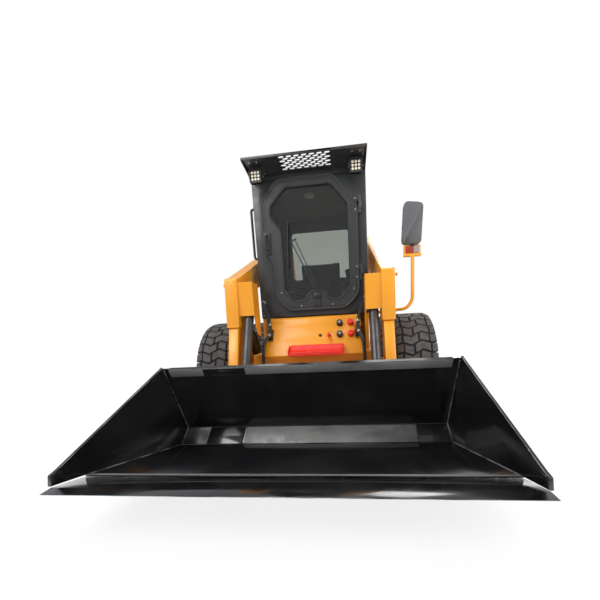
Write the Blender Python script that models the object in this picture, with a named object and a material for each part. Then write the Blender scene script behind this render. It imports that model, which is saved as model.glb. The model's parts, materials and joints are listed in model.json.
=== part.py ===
"""Skid steer loader: closed cab, two-beam lift arm, rolled-back dirt bucket.

Metres, +Z up. The machine faces -Y, and +X is its left side. Every sub-part is drawn in machine
coordinates: zero on the ground under the middle of the front axle. The empty "machine" then moves
the whole so that the origin is on the ground in the middle of its length.
"""
import math

import bmesh
import bpy
from mathutils import Vector

# ---- fits -----------------------------------------------------------------------------------
TOUCH = 0.0003          # gap between two pieces that bear on each other
PLAY = 0.0004           # radial play of a pin in its eye
CLEAR = 0.006           # least gap between pieces that move past each other

# ---- wheels ---------------------------------------------------------------------------------
TYRE_RADIUS = 0.440
TYRE_WIDTH = 0.300
RIM_RADIUS = 0.212
WHEEL_X = 0.776         # middle of a tyre
WHEELBASE = 1.150
AXLE_STUB_RADIUS = 0.035
AXLE_HOUSING_RADIUS = 0.075
WHEEL_SIDES = 32

# ---- main frame -----------------------------------------------------------------------------
BELLY_Z = 0.200
BELLY_PLATE = 0.015
CASE_IN = 0.385         # chain case, inner and outer face
CASE_OUT = 0.515
CASE_TOP = 0.600
CASE_FRONT = -0.220
CASE_REAR = 1.450
DECK_Z = 0.575
SILL_TOP = 0.900        # where the cab stands
FRAME_REAR = 1.700

# ---- cab ------------------------------------------------------------------------------------
CAB_HALF = 0.455
CAB_FRONT = -0.080
CAB_REAR = 0.920
CAB_TOP = 1.985
CAB_WALL = 0.032
ROOF_THICKNESS = 0.050
VISOR_FRONT = -0.310
VISOR_PLATE = 0.012
GLASS = 0.006
DOOR_THICKNESS = 0.034
DOOR_KNUCKLES = (1.205, 1.710)      # lower ends of the door's hinge knuckles
DOOR_KNUCKLE = 0.045

# ---- front panel ----------------------------------------------------------------------------
PANEL_TOP = 0.893
PANEL_TOP_HALF = 0.376
PANEL_FOLD_HALF = 0.413
PANEL_PLATE = 0.010

# ---- lift arms ------------------------------------------------------------------------------
ARM_PIVOT = (1.380, 1.680)      # y, z of the rear pins
ARM_PIN_RADIUS = 0.032
ARM_PIN_SIDES = 24
TYRE_GAP = 0.014                # between tyre and arm
ARM_OUT = WHEEL_X - TYRE_WIDTH / 2 - TYRE_GAP
ARM_BEAM = 0.092                # width of the box beam
ARM_IN = ARM_OUT - ARM_BEAM
ARM_BLOCK_IN = 0.400            # inner face of the knee block
ARM_PLATE = 0.012
KNEE_FRONT = -0.445
ARM_LIFT_DEG = 69.5

# ---- bucket and coupler ---------------------------------------------------------------------
HINGE = (-0.580, 0.205)         # y, z of the bucket pins
HINGE_PIN_RADIUS = 0.020
BUCKET_HALF = 0.930
BUCKET_PLATE = 0.010
BUCKET_SIDE = 0.014
BUCKET_DUMP_DEG = 121.0
BUCKET_CURL_DEG = 13.0
CRANK = 0.200                   # from the bucket pins to the tilt rods' pins
CRANK_LEAN_DEG = 11.0

# ---- cylinders ------------------------------------------------------------------------------
TILT_BARREL_RADIUS = 0.036
TILT_BASE = (KNEE_FRONT + 0.080 + TILT_BARREL_RADIUS, 1.035)   # y, z of the tilt cylinders' upper pins
TILT_EYE = 0.046                # width of the tilt cylinders' eyes
TILT_X = (ARM_BLOCK_IN + ARM_PLATE + ARM_IN) / 2
TILT_ROD_RADIUS = 0.019
LIFT_BASE = (0.950, 0.450)      # y, z of the lift cylinders' lower pins
LIFT_HEAD = (0.790, 1.385)      # y, z of their upper pins, on the arms
LIFT_BARREL_RADIUS = 0.037
LIFT_ROD_RADIUS = 0.022
EYE_WALL = 0.016

REAR_FACE = 1.800               # rearmost face, on the bumper


# ---- helpers --------------------------------------------------------------------------------
def clear_scene():
    for item in list(bpy.data.objects):
        bpy.data.objects.remove(item)


def turned(point, degrees, centre):
    """A (y, z) point turned about a centre. Positive turns the nose of the machine down."""
    angle = math.radians(degrees)
    y = point[0] - centre[0]
    z = point[1] - centre[1]
    return (centre[0] + y * math.cos(angle) - z * math.sin(angle),
            centre[1] + y * math.sin(angle) + z * math.cos(angle))


def arc(centre, radius, start, end, steps):
    """Points on an arc, angles in degrees from the first axis towards the second."""
    points = []
    for step in range(steps + 1):
        angle = math.radians(start + (end - start) * step / steps)
        points.append((centre[0] + radius * math.cos(angle), centre[1] + radius * math.sin(angle)))
    return points


def rounded(corners, radius, steps=3):
    """A polygon with every corner replaced by a short arc-like curve."""
    points = []
    count = len(corners)
    for index, corner in enumerate(corners):
        here = Vector(corner)
        before = Vector(corners[index - 1]) - here
        after = Vector(corners[(index + 1) % count]) - here
        reach = min(radius, before.length * 0.45, after.length * 0.45)
        start = here + before.normalized() * reach
        end = here + after.normalized() * reach
        for step in range(steps + 1):
            share = step / steps
            point = start.lerp(here, share).lerp(here.lerp(end, share), share)
            points.append(tuple(point))
    return points


def inset(corners, distance):
    """A polygon drawn anticlockwise, with each side moved inwards by a distance."""
    moved = []
    count = len(corners)
    for index in range(count):
        before = Vector(corners[index - 1])
        here = Vector(corners[index])
        after = Vector(corners[(index + 1) % count])
        first = (here - before).normalized()
        second = (after - here).normalized()
        normal_1 = Vector((-first.y, first.x))
        normal_2 = Vector((-second.y, second.x))
        bisector = (normal_1 + normal_2).normalized()
        moved.append(tuple(here + bisector * (distance / max(bisector.dot(normal_1), 0.3))))
    return moved


def strip(path, thickness):
    """The closed outline of a folded sheet that follows a path, its thickness to the left."""
    inner = []
    for index, point in enumerate(path):
        here = Vector(point)
        first = (here - Vector(path[max(index - 1, 0)]))
        second = (Vector(path[min(index + 1, len(path) - 1)]) - here)
        first = first.normalized() if first.length else second.normalized()
        second = second.normalized() if second.length else first
        normal_1 = Vector((-first.y, first.x))
        normal_2 = Vector((-second.y, second.x))
        bisector = (normal_1 + normal_2).normalized()
        inner.append(tuple(here + bisector * (thickness / bisector.dot(normal_1))))
    return list(path) + inner[::-1]


def solid(name, near, far):
    """A closed body between two rings of as many points."""
    mesh = bmesh.new()
    first = [mesh.verts.new(point) for point in near]
    second = [mesh.verts.new(point) for point in far]
    mesh.faces.new(first)
    mesh.faces.new(second[::-1])
    count = len(first)
    for index in range(count):
        after = (index + 1) % count
        mesh.faces.new((first[after], first[index], second[index], second[after]))
    bmesh.ops.recalc_face_normals(mesh, faces=mesh.faces)
    data = bpy.data.meshes.new(name)
    mesh.to_mesh(data)
    mesh.free()
    piece = bpy.data.objects.new(name, data)
    bpy.context.scene.collection.objects.link(piece)
    return piece


def across(name, outline, x0, x1):
    """A (y, z) outline extruded along X. A limit may be a function of y and z."""
    def limit(value, y, z):
        return value(y, z) if callable(value) else value
    near = [(limit(x0, y, z), y, z) for y, z in outline]
    far = [(limit(x1, y, z), y, z) for y, z in outline]
    return solid(name, near, far)


def along(name, outline, y0, y1):
    """An (x, z) outline extruded along Y."""
    return solid(name, [(x, y0, z) for x, z in outline], [(x, y1, z) for x, z in outline])


def upward(name, outline, z0, z1):
    """An (x, y) outline extruded along Z."""
    return solid(name, [(x, y, z0) for x, y in outline], [(x, y, z1) for x, y in outline])


def block(name, x, y, z):
    outline = [(x[0], y[0]), (x[1], y[0]), (x[1], y[1]), (x[0], y[1])]
    return upward(name, outline, z[0], z[1])


def bar(name, start, end, radius, sides=16):
    """A round bar between two points."""
    start = Vector(start)
    end = Vector(end)
    axis = end - start
    turn = axis.to_track_quat("Z", "Y").to_matrix()
    rings = []
    for centre in (start, end):
        ring = []
        for index in range(sides):
            angle = 2 * math.pi * (index + 0.5) / sides
            offset = Vector((radius * math.cos(angle), radius * math.sin(angle), 0))
            ring.append(centre + turn @ offset)
        rings.append(ring)
    return solid(name, rings[0], rings[1])


def pin(name, centre, x0, x1, radius, sides=16):
    """A round bar along X at a (y, z) centre."""
    return bar(name, (x0, centre[0], centre[1]), (x1, centre[0], centre[1]), radius, sides)


def bored(radius, sides=16):
    """The corner radius of a bore whose flats clear a pin of this radius."""
    return radius / math.cos(math.pi / sides) + PLAY


def tube(name, route, radius, smooth=6, sides=8):
    """A round tube along a route of points, its corners eased."""
    points = [Vector(route[0])]
    for index in range(1, len(route) - 1):
        here = Vector(route[index])
        before = Vector(route[index - 1]) - here
        after = Vector(route[index + 1]) - here
        reach = min(before.length, after.length) * 0.45
        start = here + before.normalized() * reach
        end = here + after.normalized() * reach
        for step in range(smooth + 1):
            share = step / smooth
            points.append(start.lerp(here, share).lerp(here.lerp(end, share), share))
    points.append(Vector(route[-1]))
    mesh = bmesh.new()
    rings = []
    side_way = None
    for index, point in enumerate(points):
        ahead = points[min(index + 1, len(points) - 1)] - points[max(index - 1, 0)]
        ahead.normalize()
        if side_way is None:
            side_way = ahead.orthogonal().normalized()
        side_way = (side_way - ahead * side_way.dot(ahead)).normalized()
        other = ahead.cross(side_way)
        ring = []
        for step in range(sides):
            angle = 2 * math.pi * step / sides
            offset = side_way * math.cos(angle) + other * math.sin(angle)
            ring.append(mesh.verts.new(point + offset * radius))
        rings.append(ring)
    for first, second in zip(rings, rings[1:]):
        for step in range(sides):
            after = (step + 1) % sides
            mesh.faces.new((first[step], first[after], second[after], second[step]))
    mesh.faces.new(rings[0])
    mesh.faces.new(rings[-1])
    bmesh.ops.recalc_face_normals(mesh, faces=mesh.faces)
    data = bpy.data.meshes.new(name)
    mesh.to_mesh(data)
    mesh.free()
    piece = bpy.data.objects.new(name, data)
    bpy.context.scene.collection.objects.link(piece)
    return piece


def ring_body(name, profile, centre, side, sides):
    """A closed (x, radius) profile turned about the X axis through a (y, z) centre."""
    mesh = bmesh.new()
    rings = []
    for step in range(sides):
        angle = 2 * math.pi * step / sides
        ring = []
        for x, radius in profile:
            y = centre[0] + radius * math.cos(angle)
            z = centre[1] + radius * math.sin(angle)
            ring.append(mesh.verts.new((side * x, y, z)))
        rings.append(ring)
    count = len(profile)
    for step in range(sides):
        first = rings[step]
        second = rings[(step + 1) % sides]
        for index in range(count):
            after = (index + 1) % count
            mesh.faces.new((first[index], first[after], second[after], second[index]))
    bmesh.ops.recalc_face_normals(mesh, faces=mesh.faces)
    data = bpy.data.meshes.new(name)
    mesh.to_mesh(data)
    mesh.free()
    piece = bpy.data.objects.new(name, data)
    bpy.context.scene.collection.objects.link(piece)
    return piece


def combine(piece, tools, operation):
    """Booleans applied in turn. The tools are used up."""
    for tool in tools:
        step = piece.modifiers.new(tool.name, "BOOLEAN")
        step.operation = operation
        step.object = tool
        step.solver = "EXACT"
    bpy.context.view_layer.update()
    graph = bpy.context.evaluated_depsgraph_get()
    result = bpy.data.meshes.new_from_object(piece.evaluated_get(graph))
    piece.modifiers.clear()
    piece.data = result
    for tool in tools:
        bpy.data.objects.remove(tool)
    return piece


def join(piece, *tools):
    return combine(piece, tools, "UNION")


def cut(piece, *tools):
    return combine(piece, tools, "DIFFERENCE")


PAINTS = {
    # name: (red, green, blue), roughness, metallic
    "yellow": ((0.86, 0.36, 0.02), 0.40, 0.0),
    "cab_grey": ((0.035, 0.038, 0.042), 0.45, 0.0),
    "gloss_black": ((0.006, 0.006, 0.007), 0.18, 0.0),
    "rubber": ((0.030, 0.028, 0.027), 0.80, 0.0),
    "plastic": ((0.020, 0.020, 0.021), 0.50, 0.0),
    "mirror_grey": ((0.105, 0.110, 0.115), 0.55, 0.0),
    "red": ((0.62, 0.03, 0.02), 0.45, 0.0),
    "steel": ((0.30, 0.30, 0.31), 0.40, 1.0),
    "dark_steel": ((0.075, 0.072, 0.070), 0.45, 0.6),
    "glass": ((0.35, 0.38, 0.38), 0.05, 0.0),
    "lamp": ((0.75, 0.75, 0.70), 0.25, 0.0),
    "seat": ((0.025, 0.025, 0.027), 0.75, 0.0),
    "engine": ((0.12, 0.12, 0.12), 0.60, 0.4),
}


def paint(piece, name):
    material = bpy.data.materials.get(name)
    if material is None:
        colour, roughness, metallic = PAINTS[name]
        material = bpy.data.materials.new(name)
        material.use_nodes = True
        shader = material.node_tree.nodes["Principled BSDF"]
        shader.inputs["Base Color"].default_value = (*colour, 1.0)
        shader.inputs["Roughness"].default_value = roughness
        shader.inputs["Metallic"].default_value = metallic
    piece.data.materials.clear()
    piece.data.materials.append(material)


def pivot(name, location, parent):
    """An empty on a joint's axis, placed in machine coordinates."""
    empty = bpy.data.objects.new(name, None)
    bpy.context.scene.collection.objects.link(empty)
    empty.parent = parent
    above = Vector(parent["at"]) if parent else Vector((0, 0, 0))
    empty.location = Vector(location) - above
    empty["at"] = tuple(location)
    return empty


def carry(piece, carrier, paint_name):
    """Hang a piece, drawn in machine coordinates, on the empty that carries it."""
    piece.parent = carrier
    piece.location = -Vector(carrier["at"])
    paint(piece, paint_name)
    piece.data.shade_smooth()
    piece.data.set_sharp_from_angle(angle=math.radians(30))


# ---- wheels ---------------------------------------------------------------------------------
def tyre_profile():
    """Cross-section of a tyre: (distance from the wheel's middle along X, radius)."""
    half = TYRE_WIDTH / 2
    return [(-half * 0.78, RIM_RADIUS + 0.008),
            (-half * 0.97, RIM_RADIUS + 0.070),
            (-half, TYRE_RADIUS - 0.095),
            (-half * 0.93, TYRE_RADIUS - 0.030),
            (-half * 0.62, TYRE_RADIUS - 0.004),
            (0.0, TYRE_RADIUS),
            (half * 0.62, TYRE_RADIUS - 0.004),
            (half * 0.93, TYRE_RADIUS - 0.030),
            (half, TYRE_RADIUS - 0.095),
            (half * 0.97, RIM_RADIUS + 0.070),
            (half * 0.78, RIM_RADIUS + 0.008)]


def rim_profile():
    """Rim with its dish: a closed line round the section, from the bore outwards."""
    bore = bored(AXLE_STUB_RADIUS, WHEEL_SIDES)
    half = TYRE_WIDTH / 2 * 0.78
    seat = RIM_RADIUS + 0.008 - TOUCH
    flange_run = 0.0058
    flange_rise = 0.0127
    return [(-0.110, bore), (0.020, bore), (0.020, 0.085), (0.034, 0.150),
            (0.034, seat - 0.020), (half + 0.007, seat - 0.014),
            (half + 0.007 + flange_run, seat + flange_rise),
            (half + TOUCH * 2 + flange_run, seat + flange_rise), (half + TOUCH * 2, seat),
            (-half - TOUCH * 2, seat), (-half - TOUCH * 2 - flange_run, seat + flange_rise),
            (-half - 0.007 - flange_run, seat + flange_rise), (-half - 0.007, seat - 0.014),
            (0.018, seat - 0.020), (0.018, 0.155), (0.002, 0.090), (-0.110, 0.075)]


def wheels(machine):
    stations = (("front", 0.0), ("rear", WHEELBASE))
    sides = (("left", 1), ("right", -1))
    for station, y in stations:
        for hand, side in sides:
            hub = pivot(f"wheel_{station}_{hand}", (side * WHEEL_X, y, TYRE_RADIUS), machine)
            centre = (y, TYRE_RADIUS)
            tyre = ring_body(f"tyre_{station}_{hand}",
                             [(WHEEL_X + x, radius) for x, radius in tyre_profile()],
                             centre, side, WHEEL_SIDES)
            rim = ring_body(f"rim_{station}_{hand}",
                            [(WHEEL_X + x, radius) for x, radius in rim_profile()],
                            centre, side, WHEEL_SIDES)
            carry(tyre, hub, "rubber")
            carry(rim, hub, "yellow")


# ---- main frame -----------------------------------------------------------------------------
def panel_path():
    """Side view of the folded front panel, from its rear top edge to its lower edge."""
    return [(-0.085, PANEL_TOP), (-0.140, PANEL_TOP), (-0.160, PANEL_TOP - 0.016),
            (-0.168, PANEL_TOP - 0.040), (-0.305, 0.594),
            (CASE_FRONT - TOUCH - PANEL_PLATE * 0.83, 0.480)]


def footwell_outline():
    """Side plate of the footwell, its front edge just inside the folded panel."""
    inner = strip(panel_path(), PANEL_PLATE + TOUCH)[len(panel_path()):]
    low = inner[1]
    return [(CASE_FRONT + 0.006, low[1] - 0.030), low] + inner[2:5] + [
        (-0.100, inner[4][1]), (-0.100, CASE_TOP - 0.060), (CASE_FRONT + 0.006, CASE_TOP - 0.060)]


def lower_frame(machine):
    """The tub between the chain cases: belly plate, toe wall, deck and footwell."""
    belly_top = BELLY_Z + BELLY_PLATE
    half = CASE_IN - TOUCH
    frame = block("lower_frame", (-half, half), (CASE_FRONT, FRAME_REAR), (BELLY_Z, belly_top))
    parts = [block("deck", (-half, half), (0.30, CAB_REAR - 0.02), (DECK_Z - 0.012, DECK_Z)),
             block("toe_wall", (-half, half), (CASE_FRONT, CASE_FRONT + 0.012), (BELLY_Z, CASE_TOP)),
             block("riser", (-half, half), (0.30, 0.312), (BELLY_Z + 0.005, DECK_Z - 0.005))]
    for side in (-1, 1):
        parts.append(across("footwell_cheek", footwell_outline(), side * (PANEL_TOP_HALF - 0.048),
                            side * (PANEL_TOP_HALF - 0.038)))
    join(frame, *parts)
    carry(frame, machine, "yellow")


def chain_cases(machine):
    """The two welded boxes that carry axles, lift pins and cab sills."""
    for hand, side in (("left", 1), ("right", -1)):
        case = block(f"chain_case_{hand}", sorted((side * CASE_IN, side * CASE_OUT)),
                     (CASE_FRONT, CASE_REAR), (BELLY_Z, CASE_TOP))
        inner = side * (CAB_HALF - CAB_WALL)
        outer = side * CAB_HALF
        parts = [block("sill", sorted((inner, outer)), (CAB_FRONT + 0.02, CAB_REAR),
                       (CASE_TOP - 0.02, SILL_TOP)),
                 pin("lift_pin", LIFT_BASE, side * (CASE_OUT - 0.02), side * ARM_OUT,
                     LIFT_ROD_RADIUS)]
        for y in (0.0, WHEELBASE):
            centre = (y, TYRE_RADIUS)
            parts.append(pin("housing", centre, side * (CASE_OUT - 0.02),
                             side * (WHEEL_X - 0.110 - CLEAR), AXLE_HOUSING_RADIUS, 20))
            parts.append(pin("stub", centre, side * (CASE_OUT - 0.01), side * (WHEEL_X + 0.018),
                             AXLE_STUB_RADIUS, WHEEL_SIDES))
        join(case, *parts)
        carry(case, machine, "yellow")


def panel_face_y(z):
    """Front face of the panel's main slope at a height."""
    top_y, top_z = panel_path()[3]
    low_y, low_z = panel_path()[4]
    share = (top_z - z) / (top_z - low_z)
    return top_y + (low_y - top_y) * share


COUPLER_HOLES = [(0.212, 0.826), (0.298, 0.826), (0.212, 0.738), (0.298, 0.738)]    # x, z
COUPLER_RADIUS = 0.021
SMALL_CAP = (0.126, 0.737)
SMALL_HOLE = (0.055, 0.740)
STEP_X = (-0.192, 0.240)


def panel_normal():
    top = Vector(panel_path()[3])
    low = Vector(panel_path()[4])
    way = (low - top).normalized()
    return Vector((0, way.y, -way.x))


def through_panel(name, place, radius, reach_in, reach_out, sides=12):
    """A round bar square to the panel's slope."""
    x, z = place
    face = Vector((x, panel_face_y(z), z))
    normal = panel_normal()
    return bar(name, face - normal * reach_in, face + normal * reach_out, radius, sides)


def front_panel(machine):
    def half(y, z):
        share = (PANEL_TOP - z) / (PANEL_TOP - 0.49)
        return PANEL_TOP_HALF + (PANEL_FOLD_HALF - PANEL_TOP_HALF) * share
    outline = strip(panel_path(), PANEL_PLATE)
    panel = across("front_panel", outline, lambda y, z: -half(y, z), half)
    holes = [through_panel("hole", place, COUPLER_RADIUS + TOUCH, 0.03, 0.03)
             for place in COUPLER_HOLES]
    holes.append(through_panel("hole", SMALL_CAP, 0.012 + TOUCH, 0.03, 0.03))
    holes.append(through_panel("hole", SMALL_HOLE, 0.008, 0.03, 0.03))
    for side in (-1, 1):
        inner = side * (PANEL_TOP_HALF - 0.045)
        holes.append(block("slot", sorted((inner, side * 0.5)), (-0.35, -0.10), (0.715, 0.800)))
    cut(panel, *holes)
    carry(panel, machine, "yellow")

    normal = panel_normal()
    backing = []
    edge = PANEL_TOP_HALF - 0.052
    for x, z in ((0.030, 0.868), (edge, 0.868), (edge, 0.690), (0.030, 0.690)):
        backing.append(Vector((x, panel_face_y(z), z)) - normal * (PANEL_PLATE + TOUCH))
    plate = solid("quick_couplers", backing, [point - normal * 0.012 for point in backing])
    studs = [through_panel("stud", place, COUPLER_RADIUS, 0.018, 0.030) for place in COUPLER_HOLES]
    studs.append(through_panel("stud", SMALL_CAP, 0.012, 0.018, 0.022))
    join(plate, *studs)
    carry(plate, machine, "plastic")

    step_z = 0.628
    root_y = panel_face_y(step_z) - TOUCH
    path = [(root_y - 0.002, step_z + 0.040), (root_y - 0.022, step_z),
            (root_y - 0.075, step_z - 0.006), (root_y - 0.085, step_z - 0.034)]
    step = across("step_plate", strip(path, 0.006), STEP_X[0], STEP_X[1])
    low, high = step_z - 0.028, step_z + 0.044
    root = across("root", [(panel_face_y(high) - TOUCH, high), (panel_face_y(low) - TOUCH, low),
                           (panel_face_y(low) - 0.010, low), (panel_face_y(high) - 0.010, high)],
                  STEP_X[0] + 0.010, STEP_X[1] - 0.010)
    gussets = []
    for x in (STEP_X[0] + 0.010, STEP_X[1] - 0.016):
        outline = [(panel_face_y(step_z - 0.010) - 0.004, step_z - 0.010),
                   (root_y - 0.074, step_z - 0.004), (root_y - 0.020, step_z + 0.002),
                   (panel_face_y(step_z + 0.036) - 0.004, step_z + 0.036)]
        gussets.append(across("gusset", outline, x, x + 0.006))
    join(step, root, *gussets)
    carry(step, machine, "red")


# ---- rear frame -----------------------------------------------------------------------------
TOWER_IN = 0.405
TOWER_OUT = ARM_IN - CLEAR
BAY_TOP = 1.200
BULKHEAD = 0.985
HOOD_HINGE = (1.010, 1.236)                       # y, z
HOOD_KNUCKLE = 0.300                              # half length of the hood's hinge knuckle
REAR_DOOR_HINGE = (0.405, FRAME_REAR + 0.075)     # x, y
REAR_KNUCKLES = (0.480, 0.940)                    # lower ends of the door's hinge knuckles
REAR_KNUCKLE = 0.090


def rear_frame(machine):
    base = CASE_TOP + TOUCH
    bulkhead = block("rear_frame", (-TOWER_OUT + 0.01, TOWER_OUT - 0.01),
                     (BULKHEAD, BULKHEAD + 0.012), (base, BAY_TOP))
    parts = []
    boss = ARM_PIN_RADIUS + 0.065
    for side in (-1, 1):
        outline = [(1.080, base), (1.620, base), (1.620, BAY_TOP)]
        outline += arc(ARM_PIVOT, boss, 10, 170, 8)
        outline += [(1.120, BAY_TOP)]
        parts.append(across("tower", outline, side * TOWER_IN, side * TOWER_OUT))
        parts.append(pin("arm_pin", ARM_PIVOT, side * (TOWER_OUT - 0.02),
                         side * (ARM_OUT + 0.008), ARM_PIN_RADIUS, ARM_PIN_SIDES))
        knuckle = sorted((side * (HOOD_KNUCKLE + PLAY), side * (HOOD_KNUCKLE + 0.030)))
        parts.append(pin("knuckle", HOOD_HINGE, *knuckle, 0.014, 12))
        parts.append(block("lug", knuckle, (BULKHEAD, HOOD_HINGE[0] + 0.004),
                           (BAY_TOP - 0.01, HOOD_HINGE[1] + 0.004)))
        parts.append(block("bay_side", sorted((side * TOWER_IN, side * (TOWER_IN + 0.02))),
                           (BULKHEAD, FRAME_REAR), (base, BAY_TOP)))
        parts.append(block("rear_post", sorted((side * TOWER_IN, side * 0.500)),
                           (FRAME_REAR - 0.03, FRAME_REAR + 0.04), (BELLY_Z, BAY_TOP)))
    hinge_x, hinge_y = REAR_DOOR_HINGE
    for z in REAR_KNUCKLES:
        low = z + REAR_KNUCKLE + PLAY
        high = low + 0.030
        parts.append(bar("knuckle", (hinge_x, hinge_y, low), (hinge_x, hinge_y, high), 0.013, 12))
        parts.append(block("lug", (hinge_x, hinge_x + 0.020), (FRAME_REAR + 0.030, hinge_y + 0.004),
                           (low, high)))
    parts.append(block("bumper", (-0.52, 0.52), (FRAME_REAR + 0.03, REAR_FACE), (0.240, 0.400)))
    join(bulkhead, *parts)
    notch = block("belly_notch", (-0.6, 0.6), (1.0, FRAME_REAR + TOUCH),
                  (BELLY_Z - 0.1, CASE_TOP - 0.385 + TOUCH))
    case_notch = block("case_notch", (-0.6, 0.6), (1.0, CASE_REAR + TOUCH), (0.0, base))
    cut(bulkhead, notch, case_notch)
    carry(bulkhead, machine, "yellow")

    engine = block("engine_block", (-0.28, 0.28), (1.04, 1.60),
                   (BELLY_Z + BELLY_PLATE + TOUCH, 1.02))
    carry(engine, machine, "engine")


def engine_hood(machine):
    carrier = pivot("hood_hinge", (0, *HOOD_HINGE), machine)
    half = TOWER_IN - CLEAR
    path = [(FRAME_REAR + 0.095, 1.105), (FRAME_REAR + 0.085, 1.185), (FRAME_REAR + 0.030, 1.222),
            (1.040, 1.240)]
    hood = across("engine_hood", strip(path, 0.020), -half, half)
    hinge_y, hinge_z = HOOD_HINGE
    leaf = [(hinge_y, hinge_z - 0.010), (hinge_y + 0.050, hinge_z - 0.010),
            (hinge_y + 0.050, hinge_z + 0.010), (hinge_y, hinge_z + 0.010)]
    join(hood, pin("knuckle", HOOD_HINGE, -HOOD_KNUCKLE, HOOD_KNUCKLE, 0.014, 12),
         across("leaf", leaf, -HOOD_KNUCKLE, HOOD_KNUCKLE))
    carry(hood, carrier, "yellow")


def rear_door(machine):
    hinge_x, hinge_y = REAR_DOOR_HINGE
    carrier = pivot("rear_door_hinge", (hinge_x, hinge_y, 0.75), machine)
    y0 = FRAME_REAR + 0.04 + CLEAR
    outline = rounded([(-0.395, 0.415), (0.370, 0.415), (0.370, 1.090), (-0.395, 1.090)], 0.03)
    door = along("rear_door", outline, y0, y0 + 0.045)
    slots = [block("vent", (-0.27, 0.25), (y0 - 0.1, y0 + 0.1), (z, z + 0.030))
             for z in (0.64, 0.70, 0.76, 0.82, 0.88, 0.94)]
    cut(door, *slots)
    knuckles = [bar("knuckle", (hinge_x, hinge_y, z), (hinge_x, hinge_y, z + REAR_KNUCKLE), 0.013, 12)
                for z in REAR_KNUCKLES]
    leaves = [block("leaf", (0.360, hinge_x), (y0 + 0.030, y0 + 0.040), (z, z + REAR_KNUCKLE))
              for z in REAR_KNUCKLES]
    join(door, *knuckles, *leaves)
    carry(door, carrier, "yellow")


# ---- cab ------------------------------------------------------------------------------------
DOOR_OUTLINE = [(-0.215, 0.948), (0.275, 0.948), (0.385, 1.060), (0.385, 1.750), (0.208, 1.972),
                (-0.255, 1.972), (-0.385, 1.820), (-0.385, 1.460), (-0.310, 1.330), (-0.310, 1.070)]
GLASS_OUTLINE = [(-0.170, 1.030), (-0.065, 1.030), (-0.020, 1.100), (0.090, 1.100),
                 (0.135, 1.030), (0.225, 1.030), (0.312, 1.120), (0.312, 1.745), (0.178, 1.905),
                 (-0.180, 1.905), (-0.312, 1.770), (-0.312, 1.690), (-0.232, 1.580),
                 (-0.232, 1.120)]
DOORWAY_INSET = 0.030
DOOR_FACE = CAB_FRONT - CLEAR - DOOR_THICKNESS
DOOR_HINGE = (0.400, DOOR_FACE + 0.006)     # x, y


def side_window():
    return [(0.130, 1.180), (0.820, 1.180), (0.820, 1.880), (0.090, 1.880), (0.090, 1.240)]


def rear_window():
    return [(-0.330, 1.330), (0.330, 1.330), (0.330, 1.860), (-0.330, 1.860)]


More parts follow.
